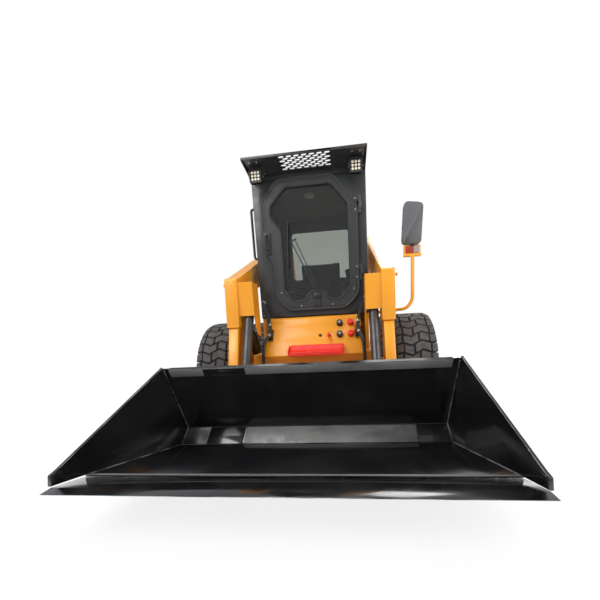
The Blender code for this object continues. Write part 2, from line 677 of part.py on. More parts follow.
def cab(machine):
    base = SILL_TOP + TOUCH
    inner = CAB_HALF - CAB_WALL
    front = along("cab_front",
                  [(-CAB_HALF, base), (CAB_HALF, base), (CAB_HALF, CAB_TOP), (-CAB_HALF, CAB_TOP)],
                  CAB_FRONT, CAB_FRONT + CAB_WALL)
    cut(front, along("doorway", rounded(inset(DOOR_OUTLINE, DOORWAY_INSET), 0.04),
                     CAB_FRONT - 0.1, CAB_FRONT + 0.2))
    hinge_x, hinge_y = DOOR_HINGE
    knuckles = [bar("knuckle", (hinge_x, hinge_y, z), (hinge_x, hinge_y, z + DOOR_KNUCKLE), 0.010, 12)
                for z in DOOR_KNUCKLES]
    lugs = [block("lug", (hinge_x - 0.003, hinge_x + 0.020), (hinge_y - 0.004, CAB_FRONT + 0.010),
                  (z, z + DOOR_KNUCKLE)) for z in DOOR_KNUCKLES]
    join(front, *knuckles, *lugs)
    carry(front, machine, "cab_grey")

    side_y = (CAB_FRONT + CAB_WALL + TOUCH, CAB_REAR)
    for hand, side in (("left", 1), ("right", -1)):
        outline = [(side_y[0], base), (side_y[1], base), (side_y[1], CAB_TOP), (side_y[0], CAB_TOP)]
        wall = across(f"cab_side_{hand}", outline, side * inner, side * CAB_HALF)
        window = rounded(side_window(), 0.05)
        cut(wall, across("window", window, side * (inner - 0.1), side * (CAB_HALF + 0.1)))
        if hand == "right":
            stand = CAB_HALF + 0.036
            route = [(-CAB_HALF + 0.010, -0.022, 1.800), (-stand, -0.024, 1.800),
                     (-stand, -0.024, 1.405), (-CAB_HALF + 0.010, -0.022, 1.405)]
            join(wall, tube("grab_handle", route, 0.011))
        carry(wall, machine, "cab_grey")
        pane = across(f"side_glass_{hand}", rounded(inset(side_window(), TOUCH), 0.05),
                      side * (CAB_HALF - 0.014 - GLASS), side * (CAB_HALF - 0.014))
        carry(pane, machine, "glass")

    rear = along("cab_rear", [(-inner + TOUCH, base), (inner - TOUCH, base),
                              (inner - TOUCH, CAB_TOP), (-inner + TOUCH, CAB_TOP)],
                 CAB_REAR - CAB_WALL, CAB_REAR)
    cut(rear, along("window", rounded(rear_window(), 0.05), CAB_REAR - 0.1, CAB_REAR + 0.1))
    carry(rear, machine, "cab_grey")
    pane = along("rear_glass", rounded(inset(rear_window(), TOUCH), 0.05),
                 CAB_REAR - 0.014 - GLASS, CAB_REAR - 0.014)
    carry(pane, machine, "glass")

    roof_z = CAB_TOP + TOUCH
    crown = [(CAB_FRONT, roof_z), (CAB_REAR + 0.03, roof_z),
             (CAB_REAR + 0.03, roof_z + 0.030), (CAB_REAR - 0.06, roof_z + ROOF_THICKNESS),
             (CAB_FRONT, roof_z + ROOF_THICKNESS)]
    roof = across("cab_roof", crown, -CAB_HALF, CAB_HALF)
    visor = [(CAB_FRONT + 0.010, roof_z + VISOR_RISE[0]), (VISOR_FRONT, roof_z + VISOR_RISE[1]),
             (VISOR_FRONT, roof_z + VISOR_RISE[1] + VISOR_PLATE),
             (CAB_FRONT + 0.010, roof_z + VISOR_RISE[0] + VISOR_PLATE)]
    parts = [across("visor", visor, -CAB_HALF, CAB_HALF)]
    for side in (-1, 1):
        cheek = [(CAB_FRONT + 0.010, roof_z), (CAB_FRONT + 0.010, roof_z + 0.044),
                 (VISOR_FRONT, roof_z + 0.060), (VISOR_FRONT, roof_z + 0.045)]
        parts.append(across("cheek", cheek, side * (CAB_HALF - 0.010), side * CAB_HALF))
    join(roof, *parts)
    carry(roof, machine, "cab_grey")


VISOR_RISE = (0.036, 0.052)             # visor's underside over the cab top, rear and front


def visor_under(y):
    """Height of the visor's underside at a station."""
    share = (CAB_FRONT + 0.010 - y) / (CAB_FRONT + 0.010 - VISOR_FRONT)
    return CAB_TOP + TOUCH + VISOR_RISE[0] + (VISOR_RISE[1] - VISOR_RISE[0]) * share


LAMP_X = 0.377
LAMP_SIZE = (0.092, 0.050, 0.100)       # width, depth, height
LAMP_PLACE = (-0.205, 1.958)            # y, z of its middle


def work_lamps(machine):
    for hand, side in (("left", 1), ("right", -1)):
        x = side * LAMP_X
        y, z = LAMP_PLACE
        width, depth, height = LAMP_SIZE
        lamp = along(f"work_lamp_{hand}",
                     rounded([(x - width / 2, z - height / 2), (x + width / 2, z - height / 2),
                              (x + width / 2, z + height / 2), (x - width / 2, z + height / 2)], 0.012),
                     y - depth / 2, y + depth / 2)
        stalk = block("stalk", (x - 0.012, x + 0.012), (y - 0.004, y + 0.020),
                      (z + height / 2 - 0.005, visor_under(y + 0.020) - TOUCH))
        join(lamp, stalk)
        carry(lamp, machine, "plastic")


def cab_door(machine):
    hinge_x, hinge_y = DOOR_HINGE
    carrier = pivot("door_hinge", (hinge_x, hinge_y, 1.45), machine)
    y0 = DOOR_FACE
    y1 = DOOR_FACE + DOOR_THICKNESS
    frame = along("door_frame", rounded(DOOR_OUTLINE, 0.05), y0, y1)
    cut(frame, along("window", rounded(GLASS_OUTLINE, 0.025), y0 - 0.1, y1 + 0.1))
    knuckles = []
    for z in DOOR_KNUCKLES:
        for low, high in ((z - 0.040, z - PLAY), (z + DOOR_KNUCKLE + PLAY, z + DOOR_KNUCKLE + 0.040)):
            knuckles.append(bar("knuckle", (hinge_x, hinge_y, low), (hinge_x, hinge_y, high), 0.010, 12))
            knuckles.append(block("leaf", (hinge_x - 0.045, hinge_x), (y0 + 0.001, y0 + 0.009),
                                  (low, high)))
    join(frame, *knuckles)
    carry(frame, carrier, "cab_grey")
    pane = along("door_glass", rounded(inset(GLASS_OUTLINE, TOUCH), 0.025),
                 y0 + 0.012, y0 + 0.012 + GLASS)
    carry(pane, carrier, "glass")

    handle_x, handle_z = (-0.348, 1.500)
    plate = along("door_handle",
                  rounded([(handle_x - 0.028, handle_z - 0.095), (handle_x + 0.028, handle_z - 0.095),
                           (handle_x + 0.028, handle_z + 0.080), (handle_x - 0.028, handle_z + 0.080)],
                          0.012), y0 - TOUCH - 0.010, y0 - TOUCH)
    route = [(handle_x, y0 - 0.005, handle_z + 0.055), (handle_x - 0.004, y0 - 0.045, handle_z + 0.045),
             (handle_x - 0.004, y0 - 0.045, handle_z - 0.055), (handle_x, y0 - 0.005, handle_z - 0.062)]
    join(plate, tube("grip", route, 0.008, smooth=3, sides=6))
    carry(plate, carrier, "plastic")


def seat(machine):
    base = block("seat_base", (-0.22, 0.22), (0.36, 0.83), (DECK_Z + TOUCH, 0.860))
    rest = [(0.7985, 0.850), (0.8065, 0.962), (0.8535, 1.420), (0.8735, 1.420), (0.825, 0.850)]
    parts = [across("rest", rest, -0.160, 0.160)]
    for side in (-1, 1):
        parts.append(block("arm_pod", sorted((side * 0.20, side * 0.34)), (0.36, 0.74), (0.700, 0.760)))
        parts.append(block("arm_post", sorted((side * 0.27, side * 0.34)), (0.34, 0.66), (0.740, 1.120)))
        parts.append(bar("lever", (side * 0.305, 0.42, 1.100), (side * 0.300, 0.33, 1.290), 0.018, 10))
    join(base, *parts)
    carry(base, machine, "plastic")
    cushion = across("seat_cushion", rounded([(0.340, 0.860 + TOUCH), (0.740, 0.860 + TOUCH),
                                              (0.740, 0.960), (0.340, 0.975)], 0.03), -0.235, 0.235)
    carry(cushion, machine, "seat")
    back = across("seat_back", rounded([(0.700, 0.962), (0.806, 0.962), (0.861, 1.500),
                                        (0.765, 1.500)], 0.03), -0.225, 0.225)
    carry(back, machine, "seat")


# ---- lift arms ------------------------------------------------------------------------------
ARM_TOP_SLOPE = 0.390
KNEE_TOP = 1.193
KNEE_DEPTH = 0.150
SLEEVE_LOW = 0.838
BLOCK_Z = (0.918, 1.161)
HINGE_BOSS = 0.044


def arm_top(y):
    return KNEE_TOP + 0.012 + (y - (KNEE_FRONT + 0.07)) * ARM_TOP_SLOPE


def arm_outline():
    """Side view of beam and upper post."""
    boss = ARM_PIN_RADIUS + 0.080
    points = [(KNEE_FRONT, KNEE_TOP - 0.012), (KNEE_FRONT + 0.012, KNEE_TOP),
              (KNEE_FRONT + 0.070, arm_top(KNEE_FRONT + 0.070)),
              (1.280, arm_top(1.280))]
    points += arc(ARM_PIVOT, boss, 95, -80, 8)
    points += [(1.180, arm_top(1.180) - 0.235), (0.0, arm_top(0.0) - 0.205),
               (-0.180, arm_top(-0.180) - 0.225), (KNEE_FRONT + KNEE_DEPTH, 1.000),
               (KNEE_FRONT + KNEE_DEPTH - 0.030, SLEEVE_LOW), (KNEE_FRONT - 0.028, SLEEVE_LOW)]
    return points


def lower_post():
    """Side view of the lower post, ending round the bucket pin."""
    points = [(KNEE_FRONT + 0.004, SLEEVE_LOW + 0.02), (KNEE_FRONT - 0.028, SLEEVE_LOW - 0.02),
              (HINGE[0] - 0.042, HINGE[1] + 0.120)]
    points += arc(HINGE, HINGE_BOSS, 165, 330, 8)
    points += [(HINGE[0] + 0.085, HINGE[1] + 0.120), (KNEE_FRONT + KNEE_DEPTH - 0.045, SLEEVE_LOW - 0.05),
               (KNEE_FRONT + KNEE_DEPTH - 0.045, SLEEVE_LOW + 0.02)]
    return points


def lift_arms(machine):
    carrier = pivot("lift_arms", (0, *ARM_PIVOT), machine)
    for hand, side in (("left", 1), ("right", -1)):
        inside = side * ARM_IN
        outside = side * ARM_OUT
        arm = across(f"lift_arm_{hand}", arm_outline(), inside, outside)
        block_in = side * ARM_BLOCK_IN
        back_y = KNEE_FRONT + KNEE_DEPTH
        parts = [across("lower_post", lower_post(), side * (ARM_IN + 0.010), side * (ARM_OUT - 0.012))]
        parts.append(block("block_front", sorted((block_in, inside + side * 0.01)),
                           (KNEE_FRONT + 0.006, KNEE_FRONT + 0.006 + ARM_PLATE), BLOCK_Z))
        parts.append(block("block_top", sorted((block_in, inside + side * 0.01)),
                           (KNEE_FRONT + 0.010, back_y), (BLOCK_Z[1] - ARM_PLATE, BLOCK_Z[1])))
        skirt = [(KNEE_FRONT + 0.008, BLOCK_Z[1] - 0.002), (KNEE_FRONT + 0.008, BLOCK_Z[0]),
                 (KNEE_FRONT + 0.030, 0.840), (KNEE_FRONT + 0.075, 0.770), (back_y, 0.760),
                 (back_y, BLOCK_Z[1] - 0.002)]
        parts.append(across("skirt", skirt, block_in, block_in + side * ARM_PLATE))
        parts.append(pin("tilt_pin", TILT_BASE, block_in + side * 0.004, inside + side * 0.004,
                         TILT_ROD_RADIUS))
        for x in (ARM_IN, ARM_OUT - ARM_PLATE):
            y, z = LIFT_HEAD
            lug = [(y - 0.110, arm_top(y) - 0.120), (y - 0.050, z - 0.030)]
            lug += arc(LIFT_HEAD, 0.050, 225, 315, 4)
            lug += [(y + 0.060, z - 0.020), (y + 0.120, arm_top(y) - 0.120)]
            parts.append(across("lug", lug, side * x, side * (x + ARM_PLATE)))
        join(arm, *parts)
        y, z = LIFT_HEAD
        low, high = z - 0.200, z + 0.098
        pocket = across("pocket", [(y - 0.150, low), (y + 0.165, low), (y + 0.165, high + 0.010),
                                   (y - 0.150, high - 0.020)],
                        side * (ARM_IN + ARM_PLATE), side * (ARM_OUT - ARM_PLATE))
        cut(arm, pocket,
            pin("bore", ARM_PIVOT, side * (ARM_IN - 0.05), side * (ARM_OUT + 0.05),
                bored(ARM_PIN_RADIUS, ARM_PIN_SIDES), ARM_PIN_SIDES),
            pin("bore", HINGE, side * (ARM_IN - 0.05), side * (ARM_OUT + 0.05),
                bored(HINGE_PIN_RADIUS)))
        carry(arm, carrier, "yellow")
    cross_at = (HINGE[0] + 0.110, HINGE[1] + 0.240)
    cross_end = ARM_IN + 0.010 - TOUCH
    cross = pin("arm_cross_tube", cross_at, -cross_end, cross_end, 0.045)
    carry(cross, carrier, "yellow")
    return carrier


# ---- bucket ---------------------------------------------------------------------------------
BUCKET_CORNERS = {
    # y, z in the parked position, on the inner faces
    "tip": (-1.651, 0.263),
    "heel": (-0.741, 0.043),
    "wall_foot": (-0.633, 0.130),
    "lip": (-0.833, 0.597),
}
EDGE_DEPTH = 0.190
LIP_BAR = 0.056         # depth of the bar along the rear wall's top, and its distance from the cheeks
EDGE_PLATE = 0.018


def bucket_point(share, start, end):
    return (start[0] + (end[0] - start[0]) * share, start[1] + (end[1] - start[1]) * share)


def edge_share():
    """Where the floor plate ends and the cutting edge shows, as a share of the floor's depth."""
    tip = Vector(BUCKET_CORNERS["tip"])
    heel = Vector(BUCKET_CORNERS["heel"])
    return 1 - EDGE_DEPTH / (tip - heel).length


def edge_outline():
    """Side view of the cutting edge plate, lapped under the floor and ground to a nose."""
    tip = Vector(BUCKET_CORNERS["tip"])
    heel = Vector(BUCKET_CORNERS["heel"])
    lap = Vector(bucket_point(edge_share() - 0.04, heel, tip))
    way = (tip - heel).normalized()
    down = Vector((-way.y, way.x))
    top = BUCKET_PLATE + TOUCH
    low = top + EDGE_PLATE
    return [tuple(lap + down * top), tuple(lap + down * low), tuple(tip + down * low),
            tuple(tip + way * 0.010 + down * (low - 0.004)), tuple(tip - way * 0.035 + down * top)]


def coupler_plane(along_wall, behind):
    """A point by its distance up the bucket's rear wall from its foot, and behind that wall."""
    foot = Vector(BUCKET_CORNERS["wall_foot"])
    way = (Vector(BUCKET_CORNERS["lip"]) - foot).normalized()
    back = Vector((way.y, -way.x))
    return tuple(foot + way * along_wall + back * behind)


def bucket(arms):
    carrier = pivot("bucket_hinge", (0, *HINGE), arms)
    tip = BUCKET_CORNERS["tip"]
    heel = BUCKET_CORNERS["heel"]
    foot = BUCKET_CORNERS["wall_foot"]
    lip = BUCKET_CORNERS["lip"]
    floor_end = bucket_point(edge_share(), heel, tip)
    inner = [floor_end, heel, foot, lip]
    outline = strip(inner, -BUCKET_PLATE)
    shell = across("bucket", outline, -BUCKET_HALF, BUCKET_HALF)
    nose = bucket_point(0.955, heel, tip)
    wall = (Vector(lip) - Vector(foot)).length
    parts = []
    for side in (-1, 1):
        cheek = [floor_end, heel, foot, coupler_plane(wall + 0.014, 0.0),
                 coupler_plane(wall + 0.012, -0.018),
                 (nose[0] + 0.016, nose[1] + 0.052), (nose[0] - 0.012, nose[1] + 0.044),
                 (nose[0] - 0.020, nose[1] + 0.001)]
        parts.append(across("cheek", cheek, side * (BUCKET_HALF - BUCKET_SIDE), side * BUCKET_HALF))
    lip_bar = [coupler_plane(wall - LIP_BAR, BUCKET_PLATE / 2), coupler_plane(wall - LIP_BAR, -0.012),
               coupler_plane(wall + 0.001, -0.014), coupler_plane(wall + 0.003, BUCKET_PLATE)]
    parts.append(across("lip_bar", lip_bar, LIP_BAR - BUCKET_HALF, BUCKET_HALF - LIP_BAR))
    join(shell, *parts)
    carry(shell, carrier, "gloss_black")

    edge = across("cutting_edge", edge_outline(), -BUCKET_HALF, BUCKET_HALF)
    carry(edge, carrier, "gloss_black")

    wall_back = BUCKET_PLATE + TOUCH
    plate_outline = [coupler_plane(-0.010, wall_back), coupler_plane(0.400, wall_back),
                     coupler_plane(0.400, wall_back + 0.014), coupler_plane(-0.010, wall_back + 0.014)]
    plate = across("coupler_plate", plate_outline, -0.600, 0.600)
    crank = turned((HINGE[0], HINGE[1] + CRANK), CRANK_LEAN_DEG, HINGE)
    ears = []
    low = coupler_plane(0.000, wall_back + 0.008)
    high = coupler_plane(0.390, wall_back + 0.008)
    middle = coupler_plane(0.150, wall_back + 0.008)
    for side in (-1, 1):
        inner_ear = TILT_X - TILT_EYE / 2 - 0.009 - 0.014
        shared_ear = ARM_IN - 0.016
        outer_ear = ARM_OUT - 0.012 + CLEAR
        crank_part = [middle] + arc(crank, 0.036, -70, 80, 6) + [high]
        pin_part = [low] + arc(HINGE, 0.040, -80, 60, 6) + [coupler_plane(0.260, wall_back + 0.008)]
        ears.append(across("ear", crank_part, side * inner_ear, side * (inner_ear + 0.014)))
        ears.append(across("ear", crank_part, side * shared_ear, side * (shared_ear + 0.014)))
        ears.append(across("ear", pin_part, side * shared_ear, side * (shared_ear + 0.014)))
        ears.append(across("ear", pin_part, side * outer_ear, side * (outer_ear + 0.014)))
        ears.append(pin("pin", HINGE, side * (shared_ear + 0.004), side * (outer_ear + 0.022),
                        HINGE_PIN_RADIUS))
    join(plate, *ears)
    carry(plate, carrier, "yellow")
    return crank


# ---- cylinders ------------------------------------------------------------------------------
def cylinder(name, carrier_parent, base, head, x, shape):
    """A barrel hinged at its base and a rod whose eye lies at the other end."""
    barrel_radius, rod_radius, eye_width, barrel_length, rod_length, pin_radius, stub_half = shape
    carrier = pivot(f"{name}_base", (x, *base), carrier_parent)
    start = Vector((x, *base))
    end = Vector((x, *head))
    way = (end - start).normalized()
    eye_radius = pin_radius + PLAY + EYE_WALL
    barrel = bar(f"{name}_barrel", start + way * eye_radius * 0.6, start + way * barrel_length,
                 barrel_radius, 16)
    join(barrel, pin("eye", base, x - eye_width / 2, x + eye_width / 2, eye_radius, 16))
    cut(barrel, bar("bore", start + way * 0.058, start + way * (barrel_length + 0.1),
                    bored(rod_radius), 16),
        pin("eye_bore", base, x - 0.1, x + 0.1, bored(pin_radius)))
    carry(barrel, carrier, "dark_steel")
    slide = pivot(f"{name}_slide", (x, *base), carrier)
    rod = bar(f"{name}_rod", end - way * rod_length, end, rod_radius, 16)
    join(rod, pin("eye", head, x - eye_width / 2, x + eye_width / 2, eye_radius, 16),
         pin("stub", head, x - stub_half, x + stub_half, pin_radius, 16))
    carry(rod, slide, "steel")


def cylinders(machine, arms, crank):
    lift_x = (ARM_IN + ARM_OUT) / 2
    # barrel radius, rod radius, eye width, barrel length, rod length, pin radius, stub half-length
    tilt = (TILT_BARREL_RADIUS, TILT_ROD_RADIUS, TILT_EYE, 0.570, 0.530, TILT_ROD_RADIUS, 0.026)
    lift = (LIFT_BARREL_RADIUS, LIFT_ROD_RADIUS, 0.054, 0.870, 0.872, LIFT_ROD_RADIUS, 0.031)
    for hand, side in (("left", 1), ("right", -1)):
        cylinder(f"tilt_{hand}", arms, TILT_BASE, crank, side * TILT_X, tilt)
        cylinder(f"lift_{hand}", machine, LIFT_BASE, LIFT_HEAD, side * lift_x, lift)


# ---- mirror and hoses -----------------------------------------------------------------------
MIRROR_X = 0.768
MIRROR_Y = -0.265
MIRROR_BRACKET = 1.287       # underside of the bracket
MIRROR_FOOT = 1.368          # lower edge of the head
MIRROR_TOP = 1.668


def mirror(machine):
    route = [(CAB_HALF + TOUCH + 0.014, -0.02, 0.880), (CAB_HALF + 0.06, MIRROR_Y + 0.06, 0.900),
             (MIRROR_X - 0.045, MIRROR_Y, 0.912), (MIRROR_X, MIRROR_Y, 0.970),
             (MIRROR_X, MIRROR_Y, MIRROR_BRACKET + 0.010)]
    stem = tube("mirror_stem", route, 0.013, smooth=4)
    foot = block("foot", (CAB_HALF + TOUCH, CAB_HALF + TOUCH + 0.012), (-0.055, 0.015), (0.845, 0.895))
    bracket = block("bracket", (MIRROR_X - 0.062, MIRROR_X + 0.062), (MIRROR_Y - 0.010, MIRROR_Y + 0.030),
                    (MIRROR_BRACKET, MIRROR_BRACKET + 0.016))
    back = block("back", (MIRROR_X - 0.062, MIRROR_X + 0.062), (MIRROR_Y + 0.014, MIRROR_Y + 0.026),
                 (MIRROR_BRACKET + 0.006, MIRROR_BRACKET + 0.082))
    neck_y = MIRROR_Y + 0.020
    neck_top = MIRROR_FOOT + 0.026
    neck = bar("neck", (MIRROR_X, neck_y, MIRROR_BRACKET + 0.060), (MIRROR_X, neck_y, neck_top), 0.010, 8)
    join(stem, foot, bracket, back, neck)
    carry(stem, machine, "yellow")
    outline = rounded([(MIRROR_X - 0.075, MIRROR_FOOT + 0.008), (MIRROR_X + 0.062, MIRROR_FOOT),
                       (MIRROR_X + 0.078, MIRROR_TOP - 0.020), (MIRROR_X - 0.058, MIRROR_TOP)], 0.035)
    head = along("mirror_head", outline, MIRROR_Y - 0.006, MIRROR_Y + 0.044)
    socket = bar("socket", (MIRROR_X, neck_y, MIRROR_BRACKET + 0.060), (MIRROR_X, neck_y, neck_top + TOUCH),
                 0.010 + TOUCH * 2, 8)
    cut(head, socket)
    carry(head, machine, "mirror_grey")


def hoses(machine):
    for hand, side in (("left", 1), ("right", -1)):
        route = [(side * 0.430, CAB_FRONT - TOUCH, 1.030), (side * 0.430, CAB_FRONT - 0.030, 1.030),
                 (side * 0.385, -0.160, 0.950), (side * 0.354, -0.205, 0.830),
                 (side * 0.354, -0.245, 0.765), (side * 0.390, -0.310, 0.700),
                 (side * 0.400, -0.335, 0.560), (side * 0.400, -0.290, 0.400),
                 (side * 0.400, CASE_FRONT - TOUCH, 0.400)]
        carry(tube(f"hose_{hand}", route, 0.013, smooth=3), machine, "rubber")


def build():
    clear_scene()
    front_reach = -min(y for y, z in edge_outline())
    middle = (REAR_FACE - front_reach) / 2
    machine = pivot("machine", (0, 0, 0), None)
    machine.location = (0, -middle, 0)
    wheels(machine)
    lower_frame(machine)
    chain_cases(machine)
    front_panel(machine)
    rear_frame(machine)
    engine_hood(machine)
    rear_door(machine)
    cab(machine)
    work_lamps(machine)
    cab_door(machine)
    seat(machine)
    arms = lift_arms(machine)
    crank = bucket(arms)
    cylinders(machine, arms, crank)
    mirror(machine)
    hoses(machine)


build()
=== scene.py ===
"""Looks of the skid steer loader: finishes, tread, glass, lamps, seals, bolts, hoses and wear.

Metres, +Z up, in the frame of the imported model. Positions come from the boxes of its nodes.
"""
import json
import math

import bmesh
import bpy
from mathutils import Matrix, Quaternion, Vector


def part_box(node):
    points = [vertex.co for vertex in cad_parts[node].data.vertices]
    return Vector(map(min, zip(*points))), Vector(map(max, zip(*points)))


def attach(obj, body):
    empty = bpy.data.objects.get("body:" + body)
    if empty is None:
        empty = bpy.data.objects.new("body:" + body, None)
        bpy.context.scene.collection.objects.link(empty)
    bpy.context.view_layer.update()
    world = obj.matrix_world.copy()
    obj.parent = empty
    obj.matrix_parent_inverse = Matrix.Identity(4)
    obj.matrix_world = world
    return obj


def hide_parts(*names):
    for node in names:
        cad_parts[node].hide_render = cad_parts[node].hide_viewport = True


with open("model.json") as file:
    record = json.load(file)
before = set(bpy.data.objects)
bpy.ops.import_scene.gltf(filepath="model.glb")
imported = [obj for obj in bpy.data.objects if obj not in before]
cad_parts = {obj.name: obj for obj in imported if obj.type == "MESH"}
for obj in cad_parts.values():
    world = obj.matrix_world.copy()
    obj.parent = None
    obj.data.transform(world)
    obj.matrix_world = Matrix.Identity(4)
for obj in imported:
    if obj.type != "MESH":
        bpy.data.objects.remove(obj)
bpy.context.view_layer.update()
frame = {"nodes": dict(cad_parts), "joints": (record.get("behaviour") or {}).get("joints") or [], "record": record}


# ---- stage ----------------------------------------------------------------------------------
CAMERA_AT = (0.2765, -2.6527, 0.8381)
CAMERA_TURN = (0.110, -0.1581, 0.0536)      # left, down and clockwise, radians
LENS = 17.57
SHIFT = (-0.0290, 0.1164)


def set_camera():
    """Low in front of the bucket, with a very wide lens."""
    yaw, pitch, roll = CAMERA_TURN
    turn = Matrix.Rotation(yaw, 3, "Z") @ Matrix.Rotation(pitch, 3, "X") @ Matrix.Rotation(roll, 3, "Y")
    data = bpy.data.cameras.new("camera")
    data.sensor_width = 36
    data.lens = LENS
    data.shift_x, data.shift_y = SHIFT
    data.clip_start = 0.02
    camera = bpy.data.objects.new("camera", data)
    bpy.context.scene.collection.objects.link(camera)
    axes = Matrix((turn.col[0], turn.col[2], -turn.col[1])).transposed()
    camera.matrix_world = Matrix.Translation(CAMERA_AT) @ axes.to_4x4()
    bpy.context.scene.camera = camera


def lamp(name, place, target, size, power):
    """A soft rectangular light aimed at a point."""
    data = bpy.data.lights.new(name, "AREA")
    data.shape = "RECTANGLE"
    data.size, data.size_y = size
    data.energy = power
    light = bpy.data.objects.new(name, data)
    bpy.context.scene.collection.objects.link(light)
    aim = Vector(target) - Vector(place)
    light.matrix_world = Matrix.Translation(place) @ aim.to_track_quat("-Z", "Y").to_matrix().to_4x4()


def seen_directly(tree):
    """1 where a ray comes straight from the eye or through glass."""
    path = tree.nodes.new("ShaderNodeLightPath")
    first = tree.nodes.new("ShaderNodeMath")
    first.operation = "MAXIMUM"
    tree.links.new(path.outputs["Is Camera Ray"], first.inputs[0])
    tree.links.new(path.outputs["Is Transmission Ray"], first.inputs[1])
    return first.outputs[0]


def set_world():
    """Soft light all round, seen as plain white."""
    world = bpy.data.worlds.new("world")
    bpy.context.scene.world = world
    world.use_nodes = True
    tree = world.node_tree
    soft = tree.nodes["Background"]
    soft.inputs["Color"].default_value = (0.93, 0.96, 1.0, 1)
    soft.inputs["Strength"].default_value = 0.55
    white = tree.nodes.new("ShaderNodeBackground")
    white.inputs["Color"].default_value = (1, 1, 1, 1)
    mix = tree.nodes.new("ShaderNodeMixShader")
    tree.links.new(seen_directly(tree), mix.inputs[0])
    tree.links.new(soft.outputs[0], mix.inputs[1])
    tree.links.new(white.outputs[0], mix.inputs[2])
    tree.links.new(mix.outputs[0], tree.nodes["World Output"].inputs["Surface"])


def set_floor():
    """A pale floor that keeps the shadow and fades to white with distance."""
    mesh = bmesh.new()
    bmesh.ops.create_circle(mesh, cap_ends=True, radius=40, segments=64)
    data = bpy.data.meshes.new("floor")
    mesh.to_mesh(data)
    mesh.free()
    floor = bpy.data.objects.new("floor", data)
    bpy.context.scene.collection.objects.link(floor)
    material = bpy.data.materials.new("floor_white")
    material.use_nodes = True
    tree = material.node_tree
    tree.nodes["Principled BSDF"].inputs["Base Color"].default_value = (0.90, 0.90, 0.90, 1)
    tree.nodes["Principled BSDF"].inputs["Roughness"].default_value = 0.9
    glow = tree.nodes.new("ShaderNodeEmission")
    mix = tree.nodes.new("ShaderNodeMixShader")
    place = tree.nodes.new("ShaderNodeTexCoord")
    reach = tree.nodes.new("ShaderNodeVectorMath")
    reach.operation = "LENGTH"
    tree.links.new(place.outputs["Object"], reach.inputs[0])
    whiteness = ramp(tree, reach.outputs["Value"], 1.9, 5.5, 0.80, 1.0)
    glow.inputs["Strength"].default_value = 1.04
    share = tree.nodes.new("ShaderNodeMath")
    share.operation = "MULTIPLY"
    tree.links.new(whiteness, share.inputs[1])
    tree.links.new(seen_directly(tree), share.inputs[0])
    tree.links.new(share.outputs[0], mix.inputs[0])
    tree.links.new(tree.nodes["Principled BSDF"].outputs[0], mix.inputs[1])
    tree.links.new(glow.outputs[0], mix.inputs[2])
    tree.links.new(mix.outputs[0], tree.nodes["Material Output"].inputs["Surface"])
    data.materials.append(material)


def set_stage():
    """Camera, light and floor."""
    set_camera()
    set_world()
    set_floor()
    lamp("key", (-3.2, -4.6, 5.2), (0, -0.6, 0.8), (3.5, 3.5), 250)
    lamp("fill", (4.4, -3.6, 3.6), (0, -0.4, 0.8), (3.5, 3.0), 130)
    lamp("top", (0, 0.6, 6.2), (0, 0, 0.8), (4.5, 4.5), 190)
    lamp("rear", (2.6, 5.2, 4.0), (0, 0.4, 0.9), (3.5, 3.0), 190)
    bpy.context.scene.view_settings.view_transform = "Standard"


# ---- finishes -------------------------------------------------------------------------------
def finish(name, colour, roughness, metallic=0.0, coat=0.0):
    """A plain material."""
    material = bpy.data.materials.new(name)
    material.use_nodes = True
    shader = material.node_tree.nodes["Principled BSDF"]
    shader.inputs["Base Color"].default_value = (*colour, 1)
    shader.inputs["Roughness"].default_value = roughness
    shader.inputs["Metallic"].default_value = metallic
    shader.inputs["Coat Weight"].default_value = coat
    shader.inputs["Coat Roughness"].default_value = 0.12
    return material


def noise(tree, scale, detail=4.0, stretch=(1, 1, 1)):
    """Noise in the piece's own coordinates."""
    place = tree.nodes.new("ShaderNodeTexCoord")
    mapping = tree.nodes.new("ShaderNodeMapping")
    mapping.inputs["Scale"].default_value = stretch
    texture = tree.nodes.new("ShaderNodeTexNoise")
    texture.inputs["Scale"].default_value = scale
    texture.inputs["Detail"].default_value = detail
    tree.links.new(place.outputs["Object"], mapping.inputs["Vector"])
    tree.links.new(mapping.outputs[0], texture.inputs["Vector"])
    return texture.outputs["Fac"]


def ramp(tree, source, low, high, start, end):
    """A value that goes from one to another as the source goes from low to high."""
    node = tree.nodes.new("ShaderNodeMapRange")
    node.interpolation_type = "SMOOTHSTEP"
    node.inputs["From Min"].default_value = low
    node.inputs["From Max"].default_value = high
    node.inputs["To Min"].default_value = start
    node.inputs["To Max"].default_value = end
    tree.links.new(source, node.inputs["Value"])
    return node.outputs["Result"]


def vary_colour(material, other, scale, low, high, most=1.0, detail=4.0, stretch=(1, 1, 1)):
    """Blend the present colour towards another in patches."""
    tree = material.node_tree
    shader = tree.nodes["Principled BSDF"]
    socket = shader.inputs["Base Color"]
    mix = tree.nodes.new("ShaderNodeMix")
    mix.data_type = "RGBA"
    if socket.links:
        tree.links.new(socket.links[0].from_socket, mix.inputs["A"])
    else:
        mix.inputs["A"].default_value = tuple(socket.default_value)
    mix.inputs["B"].default_value = (*other, 1)
    factor = ramp(tree, noise(tree, scale, detail, stretch), low, high, 0.0, most)
    tree.links.new(factor, mix.inputs["Factor"])
    tree.links.new(mix.outputs["Result"], socket)


def vary_roughness(material, scale, rough_low, rough_high, stretch=(1, 1, 1)):
    """Let the gloss wander between two roughnesses."""
    tree = material.node_tree
    value = ramp(tree, noise(tree, scale, 5.0, stretch), 0.35, 0.65, rough_low, rough_high)
    tree.links.new(value, tree.nodes["Principled BSDF"].inputs["Roughness"])


